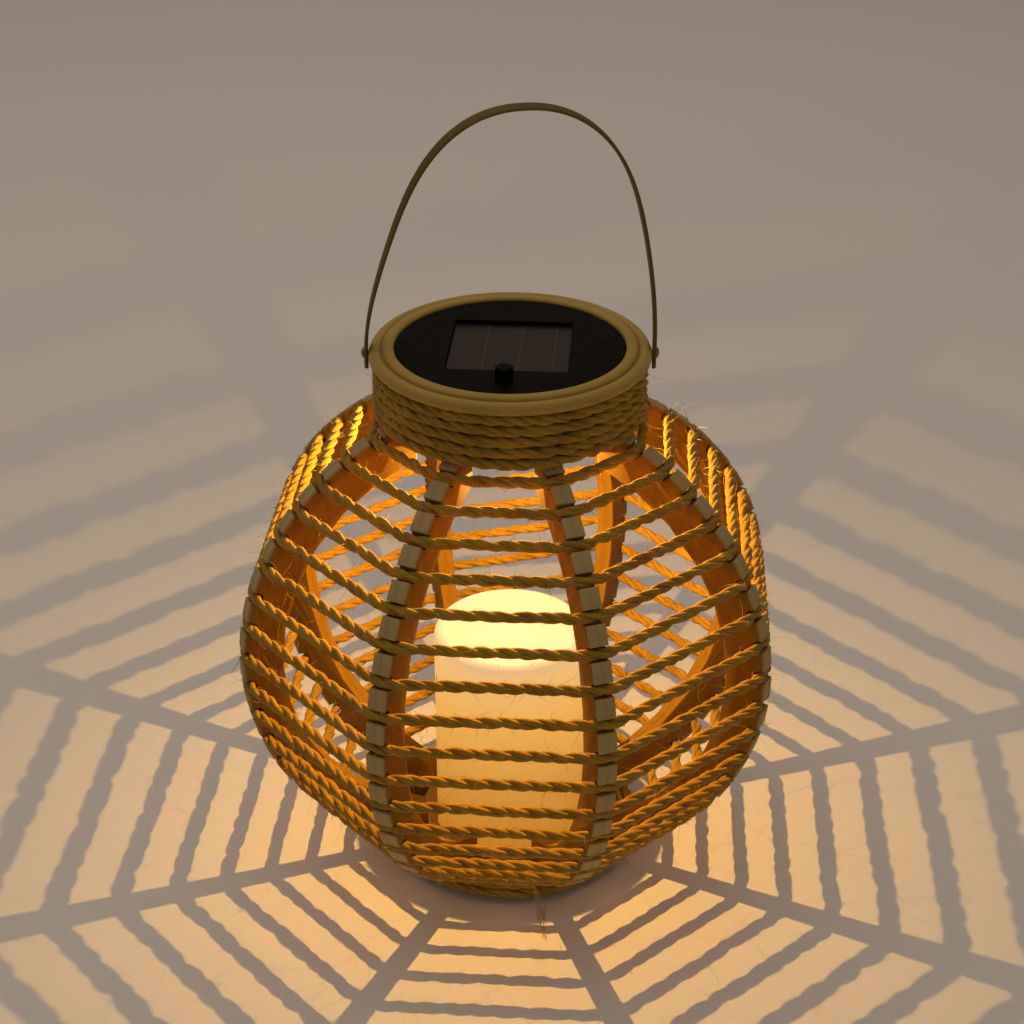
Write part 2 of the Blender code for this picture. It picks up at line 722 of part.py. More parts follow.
LAMP = finish("lamp_resin", (1.0, 0.85, 0.55), 0.2)
WIRE = finish("wire_sleeve", (0.35, 0.03, 0.03), 0.5)
STRAP = finish("strap_plastic", (0.30, 0.23, 0.10), 0.5)

build_ribs()
build_cage_cord()
build_winding("neck_cord", SKIRT_OUTER + GAP, NECK_CORD_BOTTOM, NECK_TOP, NECK_CORD_TURNS)
build_winding("foot_cord", FOOT_CORD_INNER, FOOT_CORD_BOTTOM, FOOT_CORD_TOP, FOOT_CORD_TURNS)
build_collar()
build_base(build_hoops())
build_diffuser()
MODULE_PIVOT = axis_empty("module_axis", (0.0, 0.0, 0.0))
MODULE_PIVOT.rotation_euler = (0.0, 0.0, math.radians(MODULE_TURN))
build_module(MODULE_PIVOT)
build_handle(axis_empty("handle_axis", (0.0, 0.0, PIVOT_Z)))
build_rivets()
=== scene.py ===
# %% [markdown]
# # A jute-wound solar lantern
#
# The lantern is a round cage of eight notched plastic ribs with one long jute cord
# wound round them, a cord-wrapped neck with a moulded rim, a lift-out solar module,
# a frosted diffuser on a small dish, and a strap handle on two rivets. The packed
# model already gives every part its place. This lesson dresses it: real twisted cord,
# rounded mouldings, fine surface texture, and the lamp's own light.

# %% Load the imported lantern
import math
import random

import bmesh
import bpy
import numpy as np
from mathutils import Matrix, Vector, noise


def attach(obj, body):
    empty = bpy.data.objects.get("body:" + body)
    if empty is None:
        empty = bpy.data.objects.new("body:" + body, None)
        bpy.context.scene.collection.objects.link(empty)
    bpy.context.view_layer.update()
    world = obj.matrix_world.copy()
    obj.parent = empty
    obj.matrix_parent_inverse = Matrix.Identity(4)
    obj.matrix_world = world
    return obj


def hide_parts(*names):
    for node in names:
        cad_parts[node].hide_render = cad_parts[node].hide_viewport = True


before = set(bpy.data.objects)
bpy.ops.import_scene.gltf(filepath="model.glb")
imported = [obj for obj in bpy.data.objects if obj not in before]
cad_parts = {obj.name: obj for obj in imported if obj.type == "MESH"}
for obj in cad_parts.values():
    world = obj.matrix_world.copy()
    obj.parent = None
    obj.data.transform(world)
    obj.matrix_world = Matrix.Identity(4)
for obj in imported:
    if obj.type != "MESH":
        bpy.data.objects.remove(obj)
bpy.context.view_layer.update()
MM = 0.001
GAP = 0.3
random.seed(8)

# %% [markdown]
# ## Camera
#
# The camera stands in front of the lantern and above it, and looks down at about 29
# degrees. A 70 mm lens from 1.02 m keeps the perspective mild. No shift and no depth
# of field are needed.

# %% Camera
camera_data = bpy.data.cameras.new("camera")
camera_data.lens = 70.31
camera_data.sensor_width = 36.0
camera = bpy.data.objects.new("camera", camera_data)
camera.location = (0.0008, -0.8105, 0.6252)
camera.rotation_euler = (math.radians(61.21), 0.0, 0.0)
bpy.context.scene.collection.objects.link(camera)
bpy.context.scene.camera = camera
print("camera at", tuple(round(v, 3) for v in camera.location))

# %% [markdown]
# ## Small helpers for materials
#
# Each finish below is a Principled shader with a few texture nodes in front of it.
# These helpers only shorten the wiring: a noise texture, a colour ramp over it, and a
# bump. Object coordinates are used because every piece keeps its place in its mesh, so
# one millimetre of texture is one millimetre of lantern.


# %% Material helpers
def new_finish(name, roughness, metallic=0.0):
    material = bpy.data.materials.new(name)
    material.use_nodes = True
    shader = material.node_tree.nodes["Principled BSDF"]
    shader.inputs["Roughness"].default_value = roughness
    shader.inputs["Metallic"].default_value = metallic
    return material, shader


def add_node(material, kind, **values):
    node = material.node_tree.nodes.new(kind)
    for name, value in values.items():
        setattr(node, name, value)
    return node


def wire(material, source, target):
    material.node_tree.links.new(source, target)


def placed_coordinates(material, scale=(1, 1, 1), turn=(0, 0, 0), source="Object"):
    """Texture coordinates in metres (Object) or in the piece's own UV, stretched by a Mapping node."""
    coordinates = add_node(material, "ShaderNodeTexCoord")
    mapping = add_node(material, "ShaderNodeMapping")
    mapping.inputs["Scale"].default_value = scale
    mapping.inputs["Rotation"].default_value = turn
    wire(material, coordinates.outputs[source], mapping.inputs["Vector"])
    return mapping.outputs["Vector"]


def noise_of(material, where, scale, detail=3.0, roughness=0.55):
    texture = add_node(material, "ShaderNodeTexNoise")
    texture.inputs["Scale"].default_value = scale
    texture.inputs["Detail"].default_value = detail
    texture.inputs["Roughness"].default_value = roughness
    wire(material, where, texture.inputs["Vector"])
    return texture.outputs["Fac"]


def ramp_of(material, value, stops):
    """A colour ramp: stops are (place, colour)."""
    ramp = add_node(material, "ShaderNodeValToRGB")
    band = ramp.color_ramp
    while len(band.elements) < len(stops):
        band.elements.new(0.5)
    for element, (place, colour) in zip(band.elements, stops):
        element.position = place
        element.color = (*colour, 1.0)
    wire(material, value, ramp.inputs["Fac"])
    return ramp.outputs["Color"]


def bump_of(material, shader, height, distance_mm, strength=1.0):
    bump = add_node(material, "ShaderNodeBump")
    bump.inputs["Distance"].default_value = distance_mm * MM
    bump.inputs["Strength"].default_value = strength
    wire(material, height, bump.inputs["Height"])
    wire(material, bump.outputs["Normal"], shader.inputs["Normal"])
    return bump


def colour_of(material, shader, colour):
    wire(material, colour, shader.inputs["Base Color"])


def worked(material, operation, first, second=None, kind="ShaderNodeMath"):
    """A Math or Vector Math node on one or two values, each a number, a vector or a socket."""
    node = add_node(material, kind, operation=operation)
    for value, socket in zip((first, second), node.inputs):
        if isinstance(value, (tuple, float)):
            socket.default_value = value
        elif value is not None:
            wire(material, value, socket)
    return node.outputs


def axes_of(material, where):
    """X, Y and Z of a vector, each on its own socket."""
    axes = add_node(material, "ShaderNodeSeparateXYZ")
    wire(material, where, axes.inputs[0])
    return axes.outputs


def share_of(material, value, low, high):
    """0 at low and below, 1 at high and above, even between them."""
    share = add_node(material, "ShaderNodeMapRange")
    share.inputs["From Min"].default_value = low
    share.inputs["From Max"].default_value = high
    wire(material, value, share.inputs["Value"])
    return share.outputs["Result"]


def mixed(material, factor, first, second, blend="MIX"):
    """Two colours mixed by a factor that changes over the surface."""
    mix = add_node(material, "ShaderNodeMix", data_type="RGBA", blend_type=blend)
    for value, socket in ((factor, mix.inputs[0]), (first, mix.inputs[6]), (second, mix.inputs[7])):
        if isinstance(value, (tuple, float)):
            socket.default_value = (*value, 1.0) if isinstance(value, tuple) else value
        else:
            wire(material, value, socket)
    return mix.outputs[2]


# %% [markdown]
# ## Jute
#
# A jute strand is a bundle of dull plant fibres. Seen close it is streaked along the
# strand: straw, tan and a few dark brown fibres. The pattern has to follow the twist,
# so it reads the strand's own UV map (along the strand and round it, in millimetres)
# and not the space round it. A long, narrow noise gives the streaks and the bump.


# %% Jute finish
def jute_finish(name, dark, middle, light):
    material, shader = new_finish(name, 0.92)
    shader.inputs["Specular IOR Level"].default_value = 0.18
    shader.inputs["Sheen Weight"].default_value = 0.12
    shader.inputs["Sheen Roughness"].default_value = 0.5
    along = placed_coordinates(material, (0.22, 2.6, 1.0), (0.0, 0.0, math.radians(9)), "UV")
    streaks = noise_of(material, along, 1.0, 4.0, 0.65)
    patches = noise_of(material, placed_coordinates(material, source="Object"), 55.0, 2.0)
    tone = ramp_of(material, streaks, [(0.26, dark), (0.47, middle), (0.72, light)])
    worn = ramp_of(material, patches, [(0.30, (0.74, 0.72, 0.68)), (0.62, (1.0, 1.0, 1.0))])
    colour_of(material, shader, mixed(material, 1.0, tone, worn, "MULTIPLY"))
    bump_of(material, shader, streaks, 0.70, 0.9)
    return material


JUTE = jute_finish("jute_strand", (0.16, 0.085, 0.008), (0.45, 0.258, 0.020), (0.64, 0.40, 0.045))
FIBRE = jute_finish("jute_fibre", (0.50, 0.31, 0.06), (0.66, 0.44, 0.10), (0.78, 0.56, 0.17))
DARK_FIBRE = jute_finish("dark_fibre", (0.045, 0.02, 0.007), (0.09, 0.045, 0.018), (0.13, 0.07, 0.03))
print("jute finishes:", JUTE.name, FIBRE.name, DARK_FIBRE.name)

# %% [markdown]
# ## Plastics
#
# The ribs are a dull greige moulding, the rim and the dish a smoother tan one, and the
# strap is the same plastic in a darker batch. All of them show a very fine moulded
# texture, slow changes of tone and slightly rubbed places. The black module has a
# spark-eroded texture, which is a fine even grain.


# %% Moulded plastic finishes
def moulded_finish(name, dark, light, roughness, grain_mm, grain_height_mm, streak=(1, 1, 1)):
    material, shader = new_finish(name, roughness)
    where = placed_coordinates(material)
    slow = noise_of(material, where, 38.0, 3.0)
    flow = noise_of(material, placed_coordinates(material, streak), 260.0, 2.0)
    both = mixed(material, 0.35, slow, flow)
    colour_of(material, shader, ramp_of(material, both, [(0.30, dark), (0.70, light)]))
    shine = ramp_of(material, flow, [(0.3, (roughness - 0.06,) * 3), (0.7, (roughness + 0.08,) * 3)])
    wire(material, shine, shader.inputs["Roughness"])
    grain = noise_of(material, where, 1000.0 / grain_mm, 2.0, 0.6)
    bump_of(material, shader, grain, grain_height_mm, 0.7)
    return material, shader


# The rib colour below is a warm orange. It is painted lamp light on the sides and notches, not the greige of
# the plastic.
RIB, rib_shader = moulded_finish(
    "rib_moulding", (0.235, 0.122, 0.008), (0.300, 0.164, 0.014), 0.62, 0.9, 0.05, (1, 1, 0.12)
)
TAN, tan_shader = moulded_finish("tan_moulding", (0.38, 0.240, 0.040), (0.46, 0.298, 0.056), 0.40, 1.4, 0.03)
STRAP, strap_shader = moulded_finish(
    "strap_moulding", (0.115, 0.074, 0.012), (0.160, 0.106, 0.020), 0.46, 1.2, 0.04
)
BLACK, black_shader = moulded_finish(
    "black_moulding", (0.0036, 0.0030, 0.0020), (0.0060, 0.0049, 0.0033), 0.55, 0.55, 0.05
)
RUBBER, _ = moulded_finish("seal_rubber", (0.012, 0.012, 0.012), (0.02, 0.02, 0.02), 0.8, 0.8, 0.05)
tan_shader.inputs["Coat Weight"].default_value = 0.06
tan_shader.inputs["Coat Roughness"].default_value = 0.25
for shader, level in ((rib_shader, 0.15), (tan_shader, 0.22), (strap_shader, 0.12), (black_shader, 0.04)):
    shader.inputs["Specular IOR Level"].default_value = level
print("plastics:", RIB.name, TAN.name, STRAP.name, BLACK.name)

# %% [markdown]
# ### Painted lamp light on the ribs
#
# The ribs are a greige plastic, and the outer faces of the rib teeth keep that tan. The
# sides and the notches face the lamp inside the cage and are painted the warm orange of
# its light: painted lamp light, not a colour of the plastic. A second moulding or a
# painted mask would do it too. Distance from the centre of the rib's arc is simpler,
# because it tells the two apart on all eight ribs with one material.

# %% Painted lamp light on rib sides and notches
ARC_R = 8.5
ARC_Z = 121.0
OUTER_FACE_FROM = 119.8
OUTER_FACE_TO = 121.1
OUTER_FACE_TAN = (0.43, 0.320, 0.135)
rib_place = placed_coordinates(RIB)
VECTOR_MATH = "ShaderNodeVectorMath"
level_place = worked(RIB, "MULTIPLY", rib_place, (1.0, 1.0, 0.0), VECTOR_MATH)["Vector"]
on_section = add_node(RIB, "ShaderNodeCombineXYZ")
wire(RIB, worked(RIB, "LENGTH", level_place, kind=VECTOR_MATH)["Value"], on_section.inputs["X"])
wire(RIB, axes_of(RIB, rib_place)["Z"], on_section.inputs["Z"])
arc_centre = (ARC_R * MM, 0.0, ARC_Z * MM)
arc_distance = worked(RIB, "DISTANCE", on_section.outputs["Vector"], arc_centre, VECTOR_MATH)["Value"]
outer_faces = share_of(RIB, arc_distance, OUTER_FACE_FROM * MM, OUTER_FACE_TO * MM)
# The outer faces get the plastic's greige tan. The sides and notches keep the orange, which is painted lamp
# light.
painted_lamp_light_tone = rib_shader.inputs["Base Color"].links[0].from_socket
colour_of(RIB, rib_shader, mixed(RIB, outer_faces, painted_lamp_light_tone, OUTER_FACE_TAN))
print("rib faces fade between", OUTER_FACE_FROM, "and", OUTER_FACE_TO, "mm from the arc centre")

# %% [markdown]
# ## Solar cell
#
# The panel is dark silicon under clear potting. It is cut into four strips, joined by
# three thin solder lines, and each strip has hair-fine silver fingers across it. Both
# are drawn from Object coordinates. The module is turned 4 degrees, and a Mapping node
# turns the pattern by the same amount.

# %% Solar cell and glazing
MODULE_TURN = math.radians(-4.0)
PANEL_SIDE = 53.0


def band(material, value, centre, half):
    """1 inside centre ± half of a value, 0 outside."""
    distance = worked(material, "SUBTRACT", value, centre)[0]
    size = worked(material, "ABSOLUTE", distance)[0]
    return worked(material, "LESS_THAN", size, half)[0]


def strongest(material, first, second):
    return worked(material, "MAXIMUM", first, second)[0]


CELL, cell_shader = new_finish("silicon_cell", 0.34)
cell_shader.inputs["Specular IOR Level"].default_value = 0.12
cell_place = placed_coordinates(CELL, (1, 1, 1), (0.0, 0.0, -MODULE_TURN))
cell_axes = add_node(CELL, "ShaderNodeSeparateXYZ")
wire(CELL, cell_place, cell_axes.inputs[0])
solder = None
for share in (0.29, 0.585, 0.872):
    line = band(CELL, cell_axes.outputs["X"], (share - 0.5) * PANEL_SIDE * MM, 0.00032)
    solder = line if solder is None else strongest(CELL, solder, line)
fingers = add_node(CELL, "ShaderNodeTexWave", bands_direction="Y", wave_profile="SIN")
fingers.inputs["Scale"].default_value = 160.0
wire(CELL, cell_place, fingers.inputs["Vector"])
finger_tone = ramp_of(CELL, fingers.outputs["Fac"], [(0.80, (0.0, 0.0, 0.0)), (0.97, (0.07, 0.07, 0.07))])
crystal = noise_of(CELL, cell_place, 190.0, 2.0)
silicon = ramp_of(CELL, crystal, [(0.3, (0.022, 0.0165, 0.0105)), (0.7, (0.031, 0.024, 0.016))])
with_fingers = mixed(CELL, finger_tone, silicon, (0.20, 0.165, 0.11))
colour_of(CELL, cell_shader, mixed(CELL, solder, with_fingers, (0.078, 0.052, 0.028)))
bump_of(CELL, cell_shader, crystal, 0.02, 0.4)

GLAZE, glaze_shader = new_finish("clear_potting", 0.16)
glaze_shader.inputs["Base Color"].default_value = (0.05, 0.045, 0.04, 1.0)
glaze_shader.inputs["Alpha"].default_value = 0.10
bump_of(GLAZE, glaze_shader, noise_of(GLAZE, placed_coordinates(GLAZE), 120.0, 2.0), 0.05, 0.3)
print("cell lines at", [round((s - 0.5) * PANEL_SIDE, 1) for s in (0.29, 0.585, 0.872)], "mm")

# %% [markdown]
# ## Frosted diffuser
#
# The lamp shines down on a white frosted cup. Light enters through its top and leaks
# out all round, so the cup is nearly white at its shoulder and turns amber towards its
# foot. A true light-carrying plastic would need a very long render. A soft glow that
# fades with height gives the same look, and the lamp still lights its top for real.

# %% Diffuser finish
FROST, frost_shader = new_finish("frosted_plastic", 0.48)
frost_place = placed_coordinates(FROST)
CUP_TOP = 0.12
GLOW_STOPS = [
    (0.04, (0.48, 0.180, 0.012)),
    (0.35, (0.57, 0.240, 0.026)),
    (0.70, (0.75, 0.375, 0.062)),
    (0.92, (0.76, 0.455, 0.160)),
    (1.0, (0.60, 0.400, 0.230)),
]
height = share_of(FROST, axes_of(FROST, frost_place)["Z"], 0.0, CUP_TOP)
glow = ramp_of(FROST, height, GLOW_STOPS)
wire(FROST, glow, frost_shader.inputs["Emission Color"])
frost_shader.inputs["Emission Strength"].default_value = 1.0
haze = noise_of(FROST, frost_place, 70.0, 3.0)
milk = ramp_of(FROST, haze, [(0.3, (0.20, 0.180, 0.195)), (0.7, (0.24, 0.215, 0.235))])
colour_of(FROST, frost_shader, milk)
bump_of(FROST, frost_shader, noise_of(FROST, frost_place, 900.0, 2.0), 0.03, 0.5)
print("diffuser glow has", len(GLOW_STOPS), "stops")

# %% [markdown]
# ## Metal and electrical finishes
#
# These are small or hidden: rivets, screws, the cell, the boards and the
# leads. Each still gets its own grain, because the module lifts out and then they show
# from below.


# %% Metal and electrical finishes
def metal_finish(name, dark, light, roughness):
    material, shader = new_finish(name, roughness, 1.0)
    where = placed_coordinates(material)
    scuff = noise_of(material, where, 900.0, 3.0, 0.7)
    colour_of(material, shader, ramp_of(material, scuff, [(0.3, dark), (0.7, light)]))
    worn = ramp_of(material, scuff, [(0.3, (roughness - 0.08,) * 3), (0.7, (roughness + 0.12,) * 3)])
    wire(material, worn, shader.inputs["Roughness"])
    bump_of(material, shader, scuff, 0.03, 0.5)
    return material


STEEL = metal_finish("plated_steel", (0.24, 0.19, 0.11), (0.36, 0.30, 0.19), 0.42)
BOARD, _ = moulded_finish("board_green", (0.012, 0.075, 0.028), (0.02, 0.11, 0.045), 0.35, 1.0, 0.04)
SLEEVE, _ = moulded_finish("cell_sleeve", (0.05, 0.16, 0.07), (0.08, 0.22, 0.1), 0.3, 2.0, 0.03)
LEAD, _ = moulded_finish("lead_sleeve", (0.26, 0.02, 0.015), (0.38, 0.04, 0.03), 0.45, 1.0, 0.03)
LAMP, lamp_shader = new_finish("lamp_resin", 0.12)
lamp_tone = noise_of(LAMP, placed_coordinates(LAMP), 500.0, 2.0)
lamp_glow = ramp_of(LAMP, lamp_tone, [(0.3, (1.0, 0.62, 0.24)), (0.7, (1.0, 0.70, 0.34))])
wire(LAMP, lamp_glow, lamp_shader.inputs["Emission Color"])
lamp_shader.inputs["Emission Strength"].default_value = 6.0
colour_of(LAMP, lamp_shader, lamp_glow)
print("metal:", STEEL.name, "lamp:", LAMP.name)


# %% [markdown]
# ## Small helpers for pieces
#
# Turned parts are one outline spun round the vertical axis, as on a lathe. Outlines
# are written from short arcs, so that beads are truly round. Every finished piece is
# an object at the origin with its place in its mesh, and rides on the body of the
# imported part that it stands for.


# %% Piece helpers
SHARP_DEG = 38.0


def as_piece(name, shape, finish, body, stands_for=(), sharp_deg=SHARP_DEG):
    mesh = bpy.data.meshes.new(name)
    shape.to_mesh(mesh)
    shape.free()
    mesh.shade_smooth()
    mesh.set_sharp_from_angle(angle=math.radians(sharp_deg))
    obj = bpy.data.objects.new(name, mesh)
    bpy.context.scene.collection.objects.link(obj)
    return dressed(obj, finish, body, stands_for)


def dressed(obj, finish, body, stands_for=()):
    obj.data.materials.clear()
    obj.data.materials.append(finish)
    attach(obj, body)
    if stands_for:
        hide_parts(*stands_for)
    return obj


def arc(centre, radii, start_deg, end_deg, steps):
    """Points (radius, height) on part of an ellipse, from one angle to the other."""
    points = []
    for step in range(steps + 1):
        turn = math.radians(start_deg + (end_deg - start_deg) * step / steps)
        points.append((centre[0] + radii[0] * math.cos(turn), centre[1] + radii[1] * math.sin(turn)))
    return points


def turned_shape(profile, closed=True, steps=128):
    shape = bmesh.new()
    rim = [shape.verts.new((r * MM, 0.0, z * MM)) for r, z in profile]
    edges = [shape.edges.new(pair) for pair in zip(rim, rim[1:])]
    if closed:
        edges.append(shape.edges.new((rim[-1], rim[0])))
    bmesh.ops.spin(
        shape, geom=rim + edges, cent=(0, 0, 0), axis=(0, 0, 1), angle=math.tau, steps=steps, use_merge=True
    )
    bmesh.ops.remove_doubles(shape, verts=shape.verts, dist=1e-7)
    bmesh.ops.recalc_face_normals(shape, faces=shape.faces)
    return shape


def moved(shape, matrix):
    bmesh.ops.transform(shape, matrix=matrix, verts=shape.verts)
    return shape


def cleaned_copy(node):
    """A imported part's mesh as a bmesh with its triangles joined up and its flat faces whole."""
    shape = bmesh.new()
    shape.from_mesh(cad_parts[node].data)
    bmesh.ops.remove_doubles(shape, verts=shape.verts, dist=2e-6)
    bmesh.ops.dissolve_limit(
        shape,
        angle_limit=math.radians(0.6),
        verts=shape.verts,
        edges=shape.edges,
        use_dissolve_boundaries=False,
    )
    return shape


def softened(shape, width_mm, sharp_deg=25.0, segments=2):
    """Rounds each edge that turns by more than sharp_deg."""
    sharp = [e for e in shape.edges if e.is_manifold and e.calc_face_angle(0.0) > math.radians(sharp_deg)]
    bmesh.ops.bevel(
        shape,
        geom=sharp,
        offset=width_mm * MM,
        offset_type="OFFSET",
        affect="EDGES",
        segments=segments,
        profile=0.5,
        clamp_overlap=True,
        material=-1,
    )
    return shape


def cut_away(obj, tool):
    """Cuts the tool's shape out of the piece for good, and removes the tool."""
    boolean = obj.modifiers.new("cut", "BOOLEAN")
    boolean.solver = "EXACT"
    boolean.operation = "DIFFERENCE"
    boolean.object = tool
    graph = bpy.context.evaluated_depsgraph_get()
    mesh = bpy.data.meshes.new_from_object(obj.evaluated_get(graph), depsgraph=graph)
    obj.modifiers.clear()
    obj.data = mesh
    mesh.shade_smooth()
    mesh.set_sharp_from_angle(angle=math.radians(SHARP_DEG))
    bpy.data.objects.remove(tool)


def block(size, centre, turn_z=0.0):
    shape = bmesh.new()
    bmesh.ops.create_cube(shape, size=1.0)
    place = Matrix.Translation(Vector(centre) * MM) @ Matrix.Rotation(turn_z, 4, "Z")
    return moved(shape, place @ Matrix.Diagonal((*(Vector(size) * MM), 1.0)))


def rod(radius, length, centre, sides=32):
    shape = bmesh.new()
    bmesh.ops.create_cone(
        shape, cap_ends=True, segments=sides, radius1=radius * MM, radius2=radius * MM, depth=length * MM
    )
    return moved(shape, Matrix.Translation(Vector(centre) * MM))


def tool_of(shape):
    mesh = bpy.data.meshes.new("tool")
    shape.to_mesh(mesh)
    shape.free()
    tool = bpy.data.objects.new("tool", mesh)
    bpy.context.scene.collection.objects.link(tool)
    return tool


def triangles(obj):
    return sum(len(face.vertices) - 2 for face in obj.data.polygons)


# %% [markdown]
# ## Ribs
#
# Each rib is a flat moulding with a notch for every turn of cord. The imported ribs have
# the right outline, so a copy is cleaned and its edges are softened as a mould leaves
# them. A mould closes on the middle of the rib. Three cuts along that middle make a
# narrow strip, and drawing its centre line in leaves the fine parting line that runs
# down every tooth.

# %% Ribs
RIB_COUNT = 8
RIB_PHASE = math.radians(108.6)
PARTING_HALF = 0.13
PARTING_DEPTH = 0.20


def rib_azimuth(index):
    return RIB_PHASE + math.tau / RIB_COUNT * index


def rib_piece(index):
    azimuth = rib_azimuth(index)
    across = Vector((-math.sin(azimuth), math.cos(azimuth), 0.0))
    shape = softened(cleaned_copy(f"rib_{index + 1}"), 0.35)
    for offset in (-PARTING_HALF, 0.0, PARTING_HALF):
        geometry = shape.verts[:] + shape.edges[:] + shape.faces[:]
        bmesh.ops.bisect_plane(
            shape, geom=geometry, dist=1e-6, plane_co=across * offset * MM, plane_no=across
        )
    shape.normal_update()
    middle = [v for v in shape.verts if abs(v.co.dot(across)) < 2e-6]
    drawn = {v: v.normal.copy() for v in middle}
    for vert, normal in drawn.items():
        vert.co -= normal * PARTING_DEPTH * MM
    node = f"rib_{index + 1}"
    return as_piece(f"rib_moulding_{index + 1}", shape, RIB, "lantern_body", [node])


ribs = [rib_piece(index) for index in range(RIB_COUNT)]
print("ribs:", len(ribs), "pieces of", triangles(ribs[0]), "triangles")

# %% [markdown]
# ## Where the cord runs
#
# The cord starts under the rim, makes five close turns round the neck, goes round the
# cage 17 times and ends in two coils round the foot. On each rib it lies in a notch,
# and between ribs it is stretched straight. It stays level over seven faces and steps
# down to the next notch on the eighth, at the back. The route is written once, in
# order, so the twist runs on without a break from neck to foot.

# %% Cord route
TURN_COUNT = 17
TURN_FIRST_ANGLE = 62.9
TURN_PITCH_ANGLE = 7.44
CORD_RADIUS = 2.5
CORD_ARC_RADIUS = 118.8
CORD_CORNER = 5.1
NECK_COIL_RADIUS = 59.1
NECK_COIL_TOP = 255.6
NECK_COIL_PITCH = 5.05
NECK_COIL_TURNS = 5
FOOT_COIL_RADIUS = 60.1
FOOT_COIL_Z = (10.15, 4.95)
COIL_POINTS = 64
STEP_DOWN_SHARE = 0.14
APPROACH_RADIUS = 72.0
APPROACH_Z = 21.2
APPROACH_TURN = math.radians(44.0)
FOOT_POINT_TURN = math.radians(6.5)
FOOT_POINT_COUNT = 105
FOOT_STEP_FROM_DEG = 300.0
FOOT_STEP_OVER_DEG = 50.0


def cage_corner(rib, turn, side):
    azimuth = rib_azimuth(rib)
    angle = math.radians(TURN_FIRST_ANGLE - TURN_PITCH_ANGLE * turn)
    r = ARC_R + CORD_ARC_RADIUS * math.cos(angle)
    z = ARC_Z + CORD_ARC_RADIUS * math.sin(angle)
    radial = Vector((math.cos(azimuth), math.sin(azimuth), 0.0))
    across = Vector((-math.sin(azimuth), math.cos(azimuth), 0.0))
    return radial * r + across * (side * CORD_CORNER) + Vector((0.0, 0.0, z))


def on_ring(radius, azimuth, z):
    return Vector((radius * math.cos(azimuth), radius * math.sin(azimuth), z))


def eased(share):
    share = min(max(share, 0.0), 1.0)
    return share * share * (3 - 2 * share)


def neck_route():
    """Level turns that each step down by one cord near their end, at the back."""
    start = RIB_PHASE - math.radians(30.0)
    points = []
    for step in range(COIL_POINTS * NECK_COIL_TURNS + 1):
        turns = step / COIL_POINTS
        whole = min(int(turns), NECK_COIL_TURNS - 1)
        gone = whole + eased((turns - whole - (1 - STEP_DOWN_SHARE)) / STEP_DOWN_SHARE)
        azimuth = start + math.tau * turns
        sway = 0.45 * math.sin(3.1 * azimuth) + 0.25 * math.sin(7.3 * azimuth)
        points.append(on_ring(NECK_COIL_RADIUS, azimuth, NECK_COIL_TOP - NECK_COIL_PITCH * gone + sway))
    return points


def cage_route():
    points = []
    for turn in range(TURN_COUNT):
        for rib in range(RIB_COUNT):
            points += [cage_corner(rib, turn, -1), cage_corner(rib, turn, 1)]
    return points


def foot_route():
    """From the last rib down on to the dish, once round it, then once more underneath."""
    start = rib_azimuth(RIB_COUNT - 1) + math.radians(14.0)
    upper, lower = FOOT_COIL_Z
    points = []
    for share in (0.0, 0.2, 0.4, 0.6, 0.8, 1.0):
        radius = APPROACH_RADIUS + (FOOT_COIL_RADIUS - APPROACH_RADIUS) * eased(share)
        z = APPROACH_Z + (upper - APPROACH_Z) * eased(share)
        points.append(on_ring(radius, start + APPROACH_TURN * share, z))
    for step in range(1, FOOT_POINT_COUNT):
        turned = FOOT_POINT_TURN * step
        gone = eased((math.degrees(turned) - FOOT_STEP_FROM_DEG) / FOOT_STEP_OVER_DEG)
        azimuth = start + APPROACH_TURN + turned
        points.append(on_ring(FOOT_COIL_RADIUS, azimuth, upper + (lower - upper) * gone))
    return points


def rounded(points, cut_mm):
    """Each bend is cut by a short slant, twice, so that the cord turns the corner softly."""
    for _ in range(2):
        softer = [points[0]]
        for before, here, after in zip(points, points[1:], points[2:]):
            back = before - here
            ahead = after - here
            softer.append(here + back.normalized() * min(cut_mm, back.length * 0.3))
            softer.append(here + ahead.normalized() * min(cut_mm, ahead.length * 0.3))
        points = softer + [points[-1]]
        cut_mm *= 0.4
    return points


def evenly(points, step_mm):
    """The same route, with points at even steps. Returns the points and the step."""
    table = np.array([tuple(p) for p in points])
    gone = np.concatenate([[0.0], np.cumsum(np.linalg.norm(np.diff(table, axis=0), axis=1))])
    count = max(2, round(gone[-1] / step_mm))
    at = np.linspace(0.0, gone[-1], count + 1)
    return np.stack([np.interp(at, gone, table[:, k]) for k in range(3)], axis=1), gone[-1] / count


neck_points = neck_route()
cage_points = cage_route()
foot_points = foot_route()
route, STEP = evenly(rounded(neck_points + cage_points + foot_points, 2.2), 1.45)
ROUTE_LENGTH = STEP * (len(route) - 1)
print("cord length:", round(ROUTE_LENGTH / 1000, 2), "m in", len(route), "steps")

# %% [markdown]
# ## The twisted cord
#
# Three strands are laid round each other, one full twist in 25 mm. Each strand is a
# round curve wound about the route, and it is never quite regular: it swells, thins
# and wanders by a tenth of a millimetre or two. Curves are the natural tool for this,
# and their own UV map runs along the strand, which the jute finish needs. The route is
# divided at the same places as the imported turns, so each turn of cord is one piece.

# %% Twisted cord
LAY = 25.0
STRAND_RADIUS = 1.40
STRAND_OFFSET = 1.20
STRAND_SIDES = 8


def wander(where, seed, scale):
    return noise.noise(Vector((where * scale, seed * 7.31, seed * 1.7)))


def cord_frames(points):
    """At each point: the way along, the way out from the axis, and the way across both."""
    along = np.gradient(points, axis=0)
    along /= np.linalg.norm(along, axis=1)[:, None]
    out = points * np.array([1.0, 1.0, 0.0])
    out /= np.linalg.norm(out, axis=1)[:, None]
    out -= along * (out * along).sum(1)[:, None]
    out /= np.linalg.norm(out, axis=1)[:, None]
    return along, out, np.cross(along, out)


ALONG, OUT, ACROSS = cord_frames(route)


